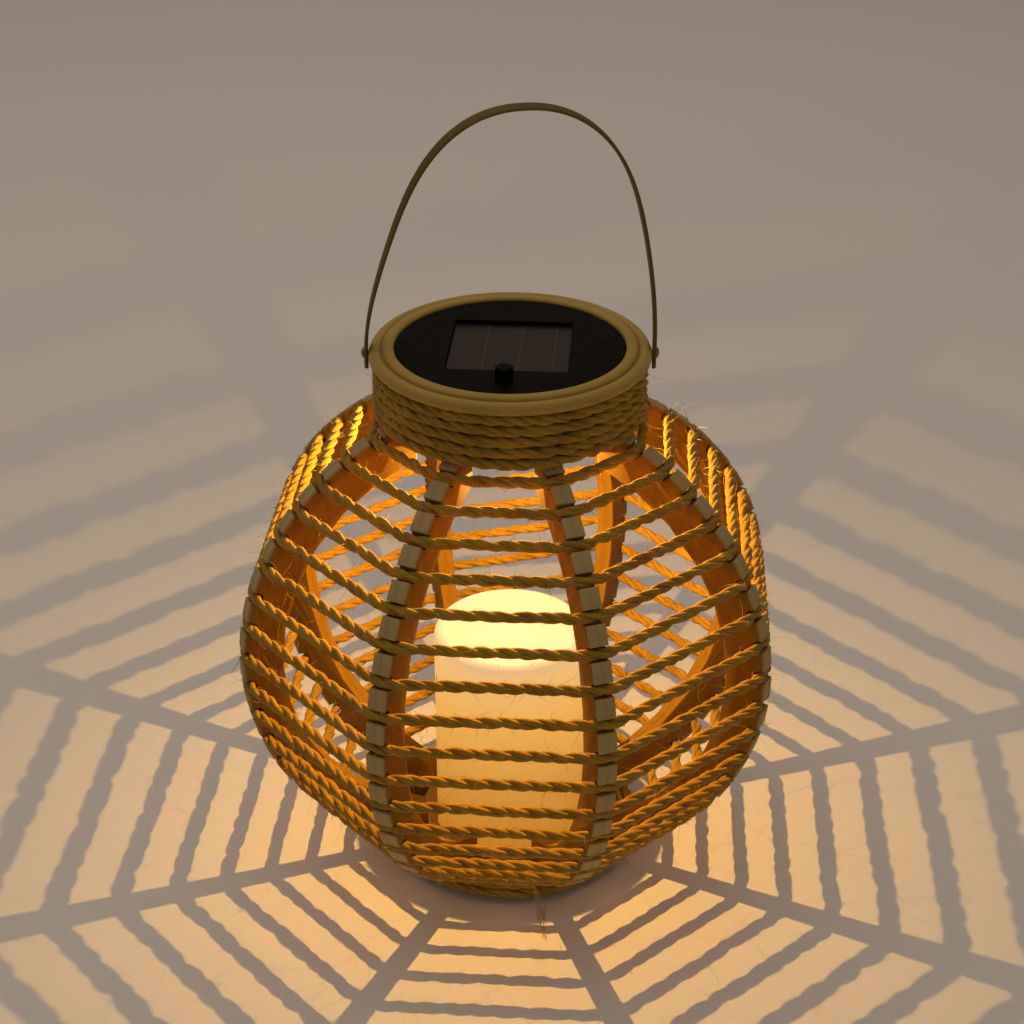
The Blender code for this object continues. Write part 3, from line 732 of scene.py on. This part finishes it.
def centre_of(index):
    """The route with a little slackness, so that no span is ruler-straight."""
    where = index * STEP
    low = wander(where, 11, 0.021) * 0.45
    side = wander(where, 23, 0.033) * 0.30
    return route[index] + ACROSS[index] * low + OUT[index] * side


def strand_point(index, strand):
    where = index * STEP
    turn = math.tau * (where / LAY + strand / 3.0) + 1.1 * wander(where, 40 + strand, 0.05)
    offset = STRAND_OFFSET + 0.20 * wander(where, 60 + strand, 0.16)
    return centre_of(index) + offset * (math.cos(turn) * OUT[index] + math.sin(turn) * ACROSS[index])


def strand_swell(index, strand):
    where = index * STEP
    return 1.0 + 0.20 * wander(where, 80 + strand, 0.11) + 0.12 * wander(where, 90 + strand, 0.45)


def mesh_of_curve(name, curve):
    """A curve made a mesh at the origin."""
    carrier = bpy.data.objects.new(name, curve)
    bpy.context.scene.collection.objects.link(carrier)
    graph = bpy.context.evaluated_depsgraph_get()
    mesh = bpy.data.meshes.new_from_object(carrier.evaluated_get(graph), depsgraph=graph)
    bpy.data.objects.remove(carrier)
    mesh.name = name
    obj = bpy.data.objects.new(name, mesh)
    bpy.context.scene.collection.objects.link(obj)
    mesh.shade_smooth()
    return obj


def round_curve(name, radius_mm, resolution):
    curve = bpy.data.curves.new(name, "CURVE")
    curve.dimensions = "3D"
    curve.bevel_depth = radius_mm * MM
    curve.bevel_resolution = resolution
    curve.use_fill_caps = True
    return curve


def add_spline(curve, places_mm, swells):
    spline = curve.splines.new("POLY")
    spline.points.add(len(places_mm) - 1)
    for point, place, swell in zip(spline.points, places_mm, swells):
        point.co = (place[0] * MM, place[1] * MM, place[2] * MM, 1.0)
        point.radius = swell
    return spline


def millimetre_uv(obj, length_mm, girth_mm, start_mm):
    """Stretches a curve's 0 to 1 UV map to millimetres along and round the strand."""
    layer = obj.data.uv_layers[0]
    values = np.empty(len(layer.data) * 2, np.float32)
    layer.data.foreach_get("uv", values)
    values = values.reshape(-1, 2)
    spread = values.max(0) - values.min(0)
    values = values * np.array([length_mm, girth_mm]) + np.array([start_mm, 0.0])
    layer.data.foreach_set("uv", values.astype(np.float32).ravel())
    return spread


def cord_piece(name, first, last, stands_for):
    curve = round_curve(name, STRAND_RADIUS, (STRAND_SIDES - 4) // 2)
    for strand in range(3):
        indices = range(first, last + 1)
        places = [strand_point(i, strand) for i in indices]
        add_spline(curve, places, [strand_swell(i, strand) for i in indices])
    obj = mesh_of_curve(name, curve)
    length = (last - first) * STEP
    spread = millimetre_uv(obj, length, math.tau * STRAND_RADIUS, first * STEP)
    dressed(obj, JUTE, "lantern_body", stands_for)
    return obj, spread


def nearest_index(place):
    return int(np.argmin(np.linalg.norm(route - np.array(tuple(place)), axis=1)))


first_cage = nearest_index(cage_points[0]) - 6
breaks = [first_cage]
for turn in range(1, TURN_COUNT):
    last_corner = cage_corner(RIB_COUNT - 1, turn - 1, 1)
    next_corner = cage_corner(0, turn, -1)
    breaks.append(nearest_index((last_corner + next_corner) / 2))
foot_start = nearest_index(foot_points[0])
breaks.append(foot_start)
neck_cord, uv_spread = cord_piece("neck_winding", 0, first_cage, ["neck_cord"])
cage_cords = []
for turn in range(TURN_COUNT):
    name = f"cage_winding_{turn + 1:02d}"
    piece, _ = cord_piece(name, breaks[turn], breaks[turn + 1], [f"cord_turn_{turn + 1:02d}"])
    cage_cords.append(piece)
foot_cord, _ = cord_piece("foot_winding", foot_start, len(route) - 1, ["foot_cord"])
print("neck", triangles(neck_cord), "turn 9", triangles(cage_cords[8]), "uv", uv_spread)
print("all cord triangles:", sum(triangles(o) for o in [neck_cord, foot_cord, *cage_cords]))

# %% [markdown]
# ## Loose fibres
#
# Jute is hairy. Short fuzz stands along every strand and glows where the lamp is behind
# it, and a few long fibres curl away from the cord. Each fibre is a thin curve of four
# short pieces. Its start is on the cord, its way out is random, and it bends a little
# at every step. A few are dark brown, as in raw jute.


# %% Loose fibres
def fibre(index, length, curl, lie):
    """One fibre: points that leave the cord at a random angle and curl."""
    turn = random.uniform(0.0, math.tau)
    outward = Vector(math.cos(turn) * OUT[index] + math.sin(turn) * ACROSS[index])
    along = Vector(ALONG[index]) * random.choice((-1.0, 1.0))
    place = Vector(centre_of(index)) + outward * (CORD_RADIUS - 0.35)
    way = (outward * (1.0 - lie) + along * lie + Vector(random_way()) * 0.35).normalized()
    bend = Vector(random_way()).cross(way)
    steps = 4
    points = [place]
    for _ in range(steps):
        way = (way + bend * curl + Vector(random_way()) * 0.22).normalized()
        place = place + way * (length / steps)
        points.append(place)
    return points


def random_way():
    z = random.uniform(-1.0, 1.0)
    turn = random.uniform(0.0, math.tau)
    flat = math.sqrt(1.0 - z * z)
    return (flat * math.cos(turn), flat * math.sin(turn), z)


def fibre_piece(name, first, last, per_metre, lengths, curl, radius, finish, lie=0.45):
    curve = round_curve(name, radius, 0)
    curve.use_fill_caps = False
    count = round((last - first) * STEP / 1000.0 * per_metre)
    for _ in range(count):
        index = random.randrange(first, last)
        length = random.uniform(0.0, 1.0) ** 2 * (lengths[1] - lengths[0]) + lengths[0]
        points = fibre(index, length, curl * random.uniform(0.3, 1.0), lie)
        add_spline(curve, points, [1.0, 0.9, 0.75, 0.55, 0.3])
    obj = mesh_of_curve(name, curve)
    millimetre_uv(obj, 6.0, 0.4, 0.0)
    dressed(obj, finish, "lantern_body", ())
    return obj


middle_turn = breaks[8]
upper = (first_cage, middle_turn)
lower = (middle_turn, foot_start)
hair = [
    fibre_piece("fuzz_upper", *upper, 760, (1.5, 5.0), 0.5, 0.078, FIBRE, 0.62),
    fibre_piece("fuzz_lower", *lower, 760, (1.5, 5.0), 0.5, 0.078, FIBRE, 0.62),
    fibre_piece("fuzz_neck", 0, first_cage, 1000, (1.5, 5.0), 0.5, 0.078, FIBRE, 0.62),
    fibre_piece("fuzz_foot", foot_start, len(route) - 1, 1000, (1.5, 5.0), 0.5, 0.078, FIBRE, 0.55),
    fibre_piece("long_fibres_upper", *upper, 190, (5.0, 14.0), 0.8, 0.088, FIBRE),
    fibre_piece("long_fibres_lower", *lower, 190, (5.0, 14.0), 0.8, 0.088, FIBRE),
    fibre_piece("long_fibres_neck", 0, first_cage, 90, (5.0, 12.0), 0.75, 0.085, FIBRE, 0.7),
    fibre_piece("dark_fibres", 0, foot_start, 14, (3.0, 11.0), 0.5, 0.15, DARK_FIBRE, 0.7),
]
print("fibre triangles:", {o.name: triangles(o) for o in hair})

# %% [markdown]
# ## Frayed end
#
# The cord's end at the foot has come undone a little. A few fibres hang from it at the
# front, lie on the table and curl. They follow one given line, each a little beside
# the next.

# %% Frayed end
FRAY_LINE = [
    (11.0, -62.9, 11.5),
    (12.8, -65.2, 7.0),
    (14.5, -68.6, 2.2),
    (15.0, -75.0, 0.5),
    (16.5, -87.5, 0.4),
]
fray_curve = round_curve("frayed_end", 0.13, 1)
for hair_index in range(7):
    spread = hair_index - 3
    places = []
    for step, place in enumerate(FRAY_LINE[: 5 - abs(spread) // 2]):
        stray = Vector(random_way()) * 0.35 * step
        stray.z = abs(stray.z) * 0.6
        places.append(Vector(place) + Vector((0.28 * spread * (1 + 0.4 * step), 0.0, 0.0)) + stray)
    smooth_places, _ = evenly(rounded(places, 2.0), 1.2)
    add_spline(fray_curve, smooth_places, [1.0] * len(smooth_places))
frayed_end = mesh_of_curve("frayed_end", fray_curve)
millimetre_uv(frayed_end, 25.0, 0.8, 0.0)
dressed(frayed_end, FIBRE, "lantern_body", ())
print("frayed end:", triangles(frayed_end), "triangles")

# %% [markdown]
# ## Rim and neck
#
# The neck is one tan moulding: a skirt under the winding, a shelf inside for the
# module, and a rim in steps. The steps are a wide round ring beside the black disc, a
# dark groove and a fat outer bead. Round the bead runs the fine flash line where the
# mould halves met, with the nub of the gate at the front. A lathe outline gives all of
# it at once.

# %% Rim and neck
RIM_TOP = 265.0
RIM_RADIUS = 62.5
SEAT = 51.4
SHELF = 259.0
SHELF_LOW = 256.4
NECK_BOTTOM = 234.3
PIVOT_Z = 260.5
FLASH_Z = 261.0
RIVET_HOLE = 1.35
RIVET_WALL_MIDDLE = 61.5
QUARTER_TURN = math.radians(90)
neck_outline = (
    [(SEAT, RIM_TOP - 2.4)]
    + arc((SEAT + 2.65, RIM_TOP - 1.2), (2.65, 1.6), 172, 12, 12)
    + [(SEAT + 5.5, RIM_TOP - 2.1)]
    + arc((RIM_RADIUS - 2.9, RIM_TOP - 3.6), (2.9, 2.9), 150, 6, 12)
    + [(RIM_RADIUS, FLASH_Z + 0.4), (RIM_RADIUS + 0.35, FLASH_Z), (RIM_RADIUS, FLASH_Z - 0.35)]
    + arc((RIM_RADIUS - 1.9, FLASH_Z - 0.4), (1.85, 1.85), -4, -84, 6)
    + [(56.7, 258.6), (56.3, 258.2), (56.3, NECK_BOTTOM + 0.4), (55.9, NECK_BOTTOM), (53.6, NECK_BOTTOM)]
    + [(53.3, NECK_BOTTOM + 0.4), (53.3, SHELF_LOW), (46.4, SHELF_LOW), (46.0, SHELF_LOW + 0.4)]
    + [(46.0, SHELF), (SEAT, SHELF)]
)
rim_shape = turned_shape(neck_outline, steps=160)
rim = as_piece("rim_moulding", rim_shape, TAN, "lantern_body", ["neck_collar"])
for side in (-1, 1):
    hole = rod(RIVET_HOLE, 16.0, (0, 0, 0), 32)
    place = Matrix.Translation(Vector((side * RIVET_WALL_MIDDLE, 0.0, PIVOT_Z)) * MM)
    cut_away(rim, tool_of(moved(hole, place @ Matrix.Rotation(QUARTER_TURN, 4, "Y"))))
nub = bmesh.new()
bmesh.ops.create_icosphere(nub, subdivisions=3, radius=0.62 * MM)
moved(nub, Matrix.Translation(Vector((-3.7, -62.3, FLASH_Z)) * MM) @ Matrix.Diagonal((1.7, 0.7, 0.8, 1.0)))
gate_nub = as_piece("gate_nub", nub, TAN, "lantern_body", ())
print("rim:", triangles(rim), "triangles")

# %% [markdown]
# ## Dish and diffuser
#
# The lantern stands on a shallow turned dish. The diffuser is a thin frosted cup, open
# below and pushed over a plug that is screwed to the dish. Both are simple lathe
# shapes, with rounded edges where the real mouldings are rounded.

# %% Dish and diffuser
dish_outline = (
    [(56.9, 12.2), (56.5, 12.7), (54.9, 12.7), (54.5, 12.3), (54.5, 4.3), (2.1, 4.3), (2.1, 1.3)]
    + [(49.0, 1.3), (49.6, 0.5)]
    + arc((51.0, 0.9), (1.4, 0.9), 200, 270, 4)
    + arc((57.0, 1.0), (1.1, 1.0), -90, 60, 6)
    + [(56.9, 2.3)]
)
dish_shape = turned_shape(dish_outline, steps=128)
dish = as_piece("dish_moulding", dish_shape, TAN, "lantern_body", ["base_dish"])
DIFFUSER_RADIUS = 36.5
DIFFUSER_TOP = 118.5
DIFFUSER_FOOT = 4.6
EDGE = 5.0
cup_outline = (
    [(0.0, DIFFUSER_TOP), (DIFFUSER_RADIUS - EDGE - 3.0, DIFFUSER_TOP)]
    + arc((DIFFUSER_RADIUS - EDGE, DIFFUSER_TOP - EDGE), (EDGE, EDGE), 90, 0, 10)
    + [(DIFFUSER_RADIUS, DIFFUSER_FOOT + 0.4), (DIFFUSER_RADIUS - 0.4, DIFFUSER_FOOT)]
    + [(DIFFUSER_RADIUS - 1.6, DIFFUSER_FOOT), (DIFFUSER_RADIUS - 2.0, DIFFUSER_FOOT + 0.4)]
    + arc((DIFFUSER_RADIUS - EDGE, DIFFUSER_TOP - EDGE), (EDGE - 2.0, EDGE - 2.0), 0, 90, 8)
    + [(0.0, DIFFUSER_TOP - 2.0)]
)
cup_shape = turned_shape(cup_outline, False, 128)
cup = as_piece("diffuser_cup", cup_shape, FROST, "lantern_body", ["diffuser"])
print("dish:", triangles(dish), "cup:", triangles(cup))

# %% [markdown]
# ## Solar module
#
# The lid of the module is a black disc with a square window for the panel, a hole for
# the switch, and two small notches at its edge that a thumb nail finds. The disc is
# turned, then the window and the notches are cut out of it. The generic marks beside
# the switch are a ring and a bar.

# %% Module cover
COVER_RADIUS = 51.1
COVER_BOTTOM = 260.4
COVER_TOP = 264.0
KNOB_DISTANCE = 36.6
MARK_X = 12.0
MARK_Y = -37.4
module_spin = Matrix.Rotation(MODULE_TURN, 4, "Z")
cover_outline = (
    [(0.0, COVER_TOP)]
    + arc((COVER_RADIUS - 0.7, COVER_TOP - 0.7), (0.7, 0.7), 90, 0, 5)
    + [(COVER_RADIUS, COVER_BOTTOM + 0.3), (COVER_RADIUS - 0.3, COVER_BOTTOM), (0.0, COVER_BOTTOM)]
)
cover_shape = turned_shape(cover_outline, False, 160)
cover = as_piece("module_disc", cover_shape, BLACK, "solar_module", ["module_cover"])
window = softened(block((PANEL_SIDE + 0.6, PANEL_SIDE + 0.6, 6.0), (0, 0, 264.0)), 0.8, segments=3)
cut_away(cover, tool_of(moved(window, module_spin)))
cut_away(cover, tool_of(moved(rod(2.1, 9.0, (0.0, -KNOB_DISTANCE, 262.4)), module_spin)))
for x in (-5.0, 5.0):
    cut_away(cover, tool_of(moved(rod(1.1, 9.0, (x, 12.0, 260.0), 24), module_spin)))
for angle in (-138.0, 42.0):
    turn = math.radians(angle)
    centre = (COVER_RADIUS * math.cos(turn), COVER_RADIUS * math.sin(turn), COVER_TOP)
    cut_away(cover, tool_of(moved(block((2.2, 7.0, 2.4), centre, turn), module_spin)))
ring = bmesh.new()
bmesh.ops.create_circle(ring, cap_ends=False, segments=16, radius=0.22 * MM)
moved(ring, Matrix.Translation(Vector((1.5, 0, 0)) * MM) @ Matrix.Rotation(QUARTER_TURN, 4, "X"))
bmesh.ops.spin(
    ring,
    geom=ring.verts[:] + ring.edges[:],
    cent=(0, 0, 0),
    axis=(0, 0, 1),
    angle=math.tau,
    steps=40,
    use_merge=True,
)
bmesh.ops.recalc_face_normals(ring, faces=ring.faces)
ring_place = module_spin @ Matrix.Translation(Vector((-MARK_X, MARK_Y, COVER_TOP)) * MM)
moved(ring, ring_place @ Matrix.Diagonal((1, 1, 0.6, 1)))
off_mark = as_piece("mark_off", ring, BLACK, "solar_module", ())
bar = softened(block((0.45, 3.2, 0.26), (MARK_X, MARK_Y, COVER_TOP + 0.02)), 0.09)
on_mark = as_piece("mark_on", moved(bar, module_spin), BLACK, "solar_module", ())
print("cover:", triangles(cover), "triangles")

# %% [markdown]
# ## Switch knob, housing and lamp
#
# The knob is a small black button with a fluted side and a pointer slot, so a finger
# can turn it. Its flutes are made by drawing in every third column of a turned shape.
# The housing is the tub that hangs under the disc, and the lamp is a clear resin dome.

# %% Knob, housing and lamp
KNOB_TOP = 270.4
KNOB_COLUMNS = 72
FLUTE_EVERY = 3
FLUTE_DRAW = 0.94
knob_outline = (
    [(0.0, KNOB_TOP), (2.9, KNOB_TOP)]
    + arc((3.25, KNOB_TOP - 0.65), (0.65, 0.65), 90, 0, 5)
    + [(3.95, KNOB_TOP - 1.6), (3.98, 265.8), (4.0, 264.6), (3.85, 264.3)]
    + [(1.6, 264.3), (1.6, 260.1), (0.0, 260.1)]
)
knob_shape = turned_shape(knob_outline, False, KNOB_COLUMNS)
for vert in knob_shape.verts:
    reach = math.hypot(vert.co.x, vert.co.y)
    column = round(math.atan2(vert.co.y, vert.co.x) / math.tau * KNOB_COLUMNS) % FLUTE_EVERY
    if reach > 0.0038 and 0.2650 < vert.co.z < 0.2699 and column == 0:
        vert.co.x *= FLUTE_DRAW
        vert.co.y *= FLUTE_DRAW
knob_place = module_spin @ Matrix.Translation(Vector((0, -KNOB_DISTANCE, 0)) * MM)
moved(knob_shape, knob_place)
knob = as_piece("knob_fluted", knob_shape, BLACK, "knob", ["switch_knob"], 30.0)
slot_tool = moved(block((0.9, 6.0, 1.0), (0.0, -2.2, KNOB_TOP)), knob_place)
cut_away(knob, tool_of(slot_tool))

housing_outline = (
    [(45.4, 260.1), (45.4, 250.0), (41.0, 246.0), (41.0, 225.0)]
    + arc((38.0, 225.0), (3.0, 3.0), 0, -90, 6)[1:]
    + [(3.8, 222.0), (3.4, 222.4), (3.4, 223.8), (38.0, 223.8)]
    + arc((37.2, 226.0), (2.0, 2.2), -90, 0, 4)[1:]
    + [(39.2, 246.8), (43.6, 250.8), (43.6, 260.1)]
)
tub_shape = turned_shape(housing_outline, steps=96)
housing = as_piece("module_tub", tub_shape, BLACK, "solar_module", ["module_housing"])
lamp_outline = (
    [(0.0, 223.8), (3.0, 223.8), (3.0, 222.4), (2.5, 222.2), (2.5, 219.4)]
    + arc((0.0, 219.4), (2.5, 2.5), 0, -90, 8)[1:]
)
lamp_shape = turned_shape(lamp_outline, False, 32)
lamp = as_piece("lamp_dome", lamp_shape, LAMP, "solar_module", ["lamp"])
print("knob:", triangles(knob), "housing:", triangles(housing), "lamp:", triangles(lamp))

# %% [markdown]
# ## Strap handle
#
# The handle is one flexible moulded strap, bent up into an arch and pinned at both
# ends. Its outer face has three long ridges with two grooves between them. The cross
# section is drawn once as a closed ring, then extruded from station to station along
# the arch, and closed at both rounded tabs.

# %% Strap handle
STRAP_X = 63.8
STRAP_RISE = 111.4
STRAP_LEAN = 5.8
STRAP_TWIST = math.radians(10.0)
STRAP_POWER = 2 / 2.23
STRAP_PINCH = 0.038
STRAP_HALF = 4.2
STRAP_TAB = 7.5
STRAP_THICKNESS = 1.6
STRAP_STEPS = 96


def strap_section():
    """(across, out) round the strap's section: ridged outside, flat inside, soft edges."""
    points = []
    for step in range(25):
        across = -1.0 + 2.0 * step / 24
        ridge = 0.34 * abs(math.cos(1.5 * math.pi * across)) ** 0.8
        edge = 0.45 * max(0.0, abs(across) - 0.86) / 0.14
        points.append((across, 0.46 + ridge - edge))
    for step in range(9):
        across = 1.0 - 2.0 * step / 8
        edge = 0.35 * max(0.0, abs(across) - 0.7) / 0.3
        points.append((across * 0.985, -0.8 + edge))
    return points


def strap_line():
    """(middle, way out, way across, half width) at each station, in millimetres, from tab to tab."""
    tab = []
    centre = STRAP_HALF - STRAP_TAB
    for turn in (82, 70, 55, 40, 25, 10):
        angle = math.radians(turn)
        tab.append((centre - STRAP_HALF * math.sin(angle), STRAP_HALF * math.cos(angle)))
    line = [(-STRAP_X, low, half, 0.0) for low, half in tab]
    for step in range(STRAP_STEPS + 1):
        turn = math.radians(-90 + 180 * step / STRAP_STEPS)
        level = max(math.cos(turn), 0.0) ** STRAP_POWER
        reach = math.copysign(abs(math.sin(turn)) ** STRAP_POWER, turn)
        ease = math.sin(math.pi / 2 * level)
        pinch = 1 - STRAP_PINCH * math.sin(math.pi * level) ** 2
        x = STRAP_X * reach * pinch + STRAP_LEAN * ease**1.4
        line.append((x, STRAP_RISE * level, STRAP_HALF, STRAP_TWIST * ease))
    line += [(STRAP_X, low, half, 0.0) for low, half in reversed(tab)]
    middle = np.array([(x * math.cos(a), x * math.sin(a), z) for x, z, _, a in line])
    way = np.gradient(middle, axis=0)
    across = np.array([(-math.sin(a), math.cos(a), 0.0) for _, _, _, a in line])
    out = np.cross(way, across)
    out /= np.linalg.norm(out, axis=1)[:, None]
    return [(Vector(m), Vector(o), Vector(c), row[2]) for m, o, c, row in zip(middle, out, across, line)]


def strap_shape():
    section = strap_section()
    stations = strap_line()
    shape = bmesh.new()
    ring = [shape.verts.new((0.0, across, out)) for across, out in section]
    loop = [shape.edges.new(pair) for pair in zip(ring, ring[1:] + ring[:1])]
    rings = [ring]
    for _ in stations[1:]:
        made = bmesh.ops.extrude_edge_only(shape, edges=loop)["geom"]
        loop = [g for g in made if isinstance(g, bmesh.types.BMEdge)]
        ends = {g for g in made if isinstance(g, bmesh.types.BMVert)}
        follow = {v: e.other_vert(v) for v in rings[-1] for e in v.link_edges if e.other_vert(v) in ends}
        rings.append([follow[v] for v in rings[-1]])
    for ring, (middle, way_out, way_across, half) in zip(rings, stations):
        for vert, (across, out) in zip(ring, section):
            vert.co = (middle + way_out * out + way_across * across * half + Vector((0, 0, PIVOT_Z))) * MM
    bmesh.ops.holes_fill(shape, edges=shape.edges, sides=0)
    bmesh.ops.recalc_face_normals(shape, faces=shape.faces)
    return shape


strap = as_piece("strap_moulding", strap_shape(), STRAP, "handle", ["handle_strap"], 50.0)
hole = moved(rod(RIVET_HOLE, 2 * STRAP_X + 12.0, (0, 0, 0)), Matrix.Rotation(QUARTER_TURN, 4, "Y"))
cut_away(strap, tool_of(moved(hole, Matrix.Translation((0, 0, PIVOT_Z * MM)))))
print("strap:", triangles(strap), "triangles")

# %% [markdown]
# ## Rivets
#
# A plated rivet with a low domed head goes through each end of the strap. It is turned
# upright first, and then laid along the rivet line.

# %% Rivets
RIVET_RADIUS = 1.1
RIVET_HEAD = 2.4
RIVET_HEAD_HEIGHT = 1.2
RIVET_TIP = 53.4
for side, word in ((-1, "left"), (1, "right")):
    lay = Matrix.Translation((0, 0, PIVOT_Z * MM)) @ Matrix.Rotation(side * QUARTER_TURN, 4, "Y")
    head = STRAP_X + STRAP_THICKNESS / 2 + GAP
    outline = (
        [(0.0, head + RIVET_HEAD_HEIGHT)]
        + arc((0.0, head), (RIVET_HEAD, RIVET_HEAD_HEIGHT), 82, 10, 8)
        + [(RIVET_HEAD, head), (RIVET_RADIUS, head), (RIVET_RADIUS, RIVET_TIP + 0.3)]
        + [(RIVET_RADIUS - 0.3, RIVET_TIP), (0.0, RIVET_TIP)]
    )
    shape = moved(turned_shape(outline, False, 40), lay)
    as_piece(f"rivet_domed_{word}", shape, STEEL, "lantern_body", [f"rivet_{word}"])
print("rivets made")

# %% [markdown]
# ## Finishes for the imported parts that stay
#
# The other parts are already right in shape, and most of them are hidden in the neck,
# the module or the dish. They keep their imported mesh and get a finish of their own.

# %% Finishes for the remaining parts
KEPT = [
    (TAN, ["upper_hoop", "lower_hoop", "diffuser_plug"]),
    (STEEL, ["hoop_screw_1", "hoop_screw_2", "hoop_screw_3", "plug_screw"]),
    (STEEL, ["contact_negative", "contact_positive", "contact_spring"]),
    (CELL, ["solar_cells"]),
    (GLAZE, ["cell_glazing"]),
    (RUBBER, ["seal_ring"]),
    (BOARD, ["lamp_board", "charge_board"]),
    (SLEEVE, ["battery"]),
    (LEAD, ["cell_wire_left", "cell_wire_right"]),
    (BLACK, ["switch_body"]),
]
for finish, nodes in KEPT:
    for node in nodes:
        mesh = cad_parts[node].data
        mesh.materials.clear()
        mesh.materials.append(finish)
print("kept parts:", sum(len(nodes) for _, nodes in KEPT))

# %% [markdown]
# ## Floor and light
#
# The floor is plain pale paper. Two lights make the picture. A large soft panel
# overhead and a dim surrounding give the room's even light, and one very small warm
# light at the lamp's tip throws the shadows of cord and ribs over the floor, as the
# real lamp does. It has to be small, because a lamp of a few millimetres gives crisp
# shadows.

# %% Floor
FLOOR, floor_shader = new_finish("pale_floor", 0.85)
floor_shader.inputs["Specular IOR Level"].default_value = 0.15
fleck = noise_of(FLOOR, placed_coordinates(FLOOR), 900.0, 3.0)
paper = ramp_of(FLOOR, fleck, [(0.3, (0.74, 0.735, 0.72)), (0.7, (0.78, 0.775, 0.76))])
colour_of(FLOOR, floor_shader, paper)
bump_of(FLOOR, floor_shader, fleck, 0.15, 0.25)
floor_mesh = bpy.data.meshes.new("floor")
ground = bmesh.new()
bmesh.ops.create_grid(ground, x_segments=8, y_segments=8, size=6.0)
bmesh.ops.translate(ground, vec=(0, 0, -0.0002), verts=ground.verts)
ground.to_mesh(floor_mesh)
ground.free()
floor = bpy.data.objects.new("floor", floor_mesh)
floor_mesh.materials.append(FLOOR)
bpy.context.scene.collection.objects.link(floor)
print("floor:", round(floor.dimensions.x, 1), "m wide")


# %% Lights
def add_light(name, kind, energy, colour, place, aim=(0, 0, 0.1), **values):
    data = bpy.data.lights.new(name, kind)
    data.energy = energy
    data.color = colour
    for key, value in values.items():
        setattr(data, key, value)
    light = bpy.data.objects.new(name, data)
    light.location = place
    light.rotation_euler = (Vector(aim) - Vector(place)).to_track_quat("-Z", "Y").to_euler()
    bpy.context.scene.collection.objects.link(light)
    return light


add_light("room_panel", "AREA", 11.0, (1.0, 0.83, 0.68), (-0.3, 0.5, 1.9), size=2.4)
add_light("lamp_light", "POINT", 2.15, (1.0, 0.53, 0.134), (0, 0, 0.2158), shadow_soft_size=0.0011)
world = bpy.data.worlds.new("room")
world.use_nodes = True
world.node_tree.nodes["Background"].inputs["Color"].default_value = (1.0, 0.83, 0.68, 1.0)
world.node_tree.nodes["Background"].inputs["Strength"].default_value = 0.22
bpy.context.scene.world = world
bpy.context.scene.view_settings.view_transform = "Standard"
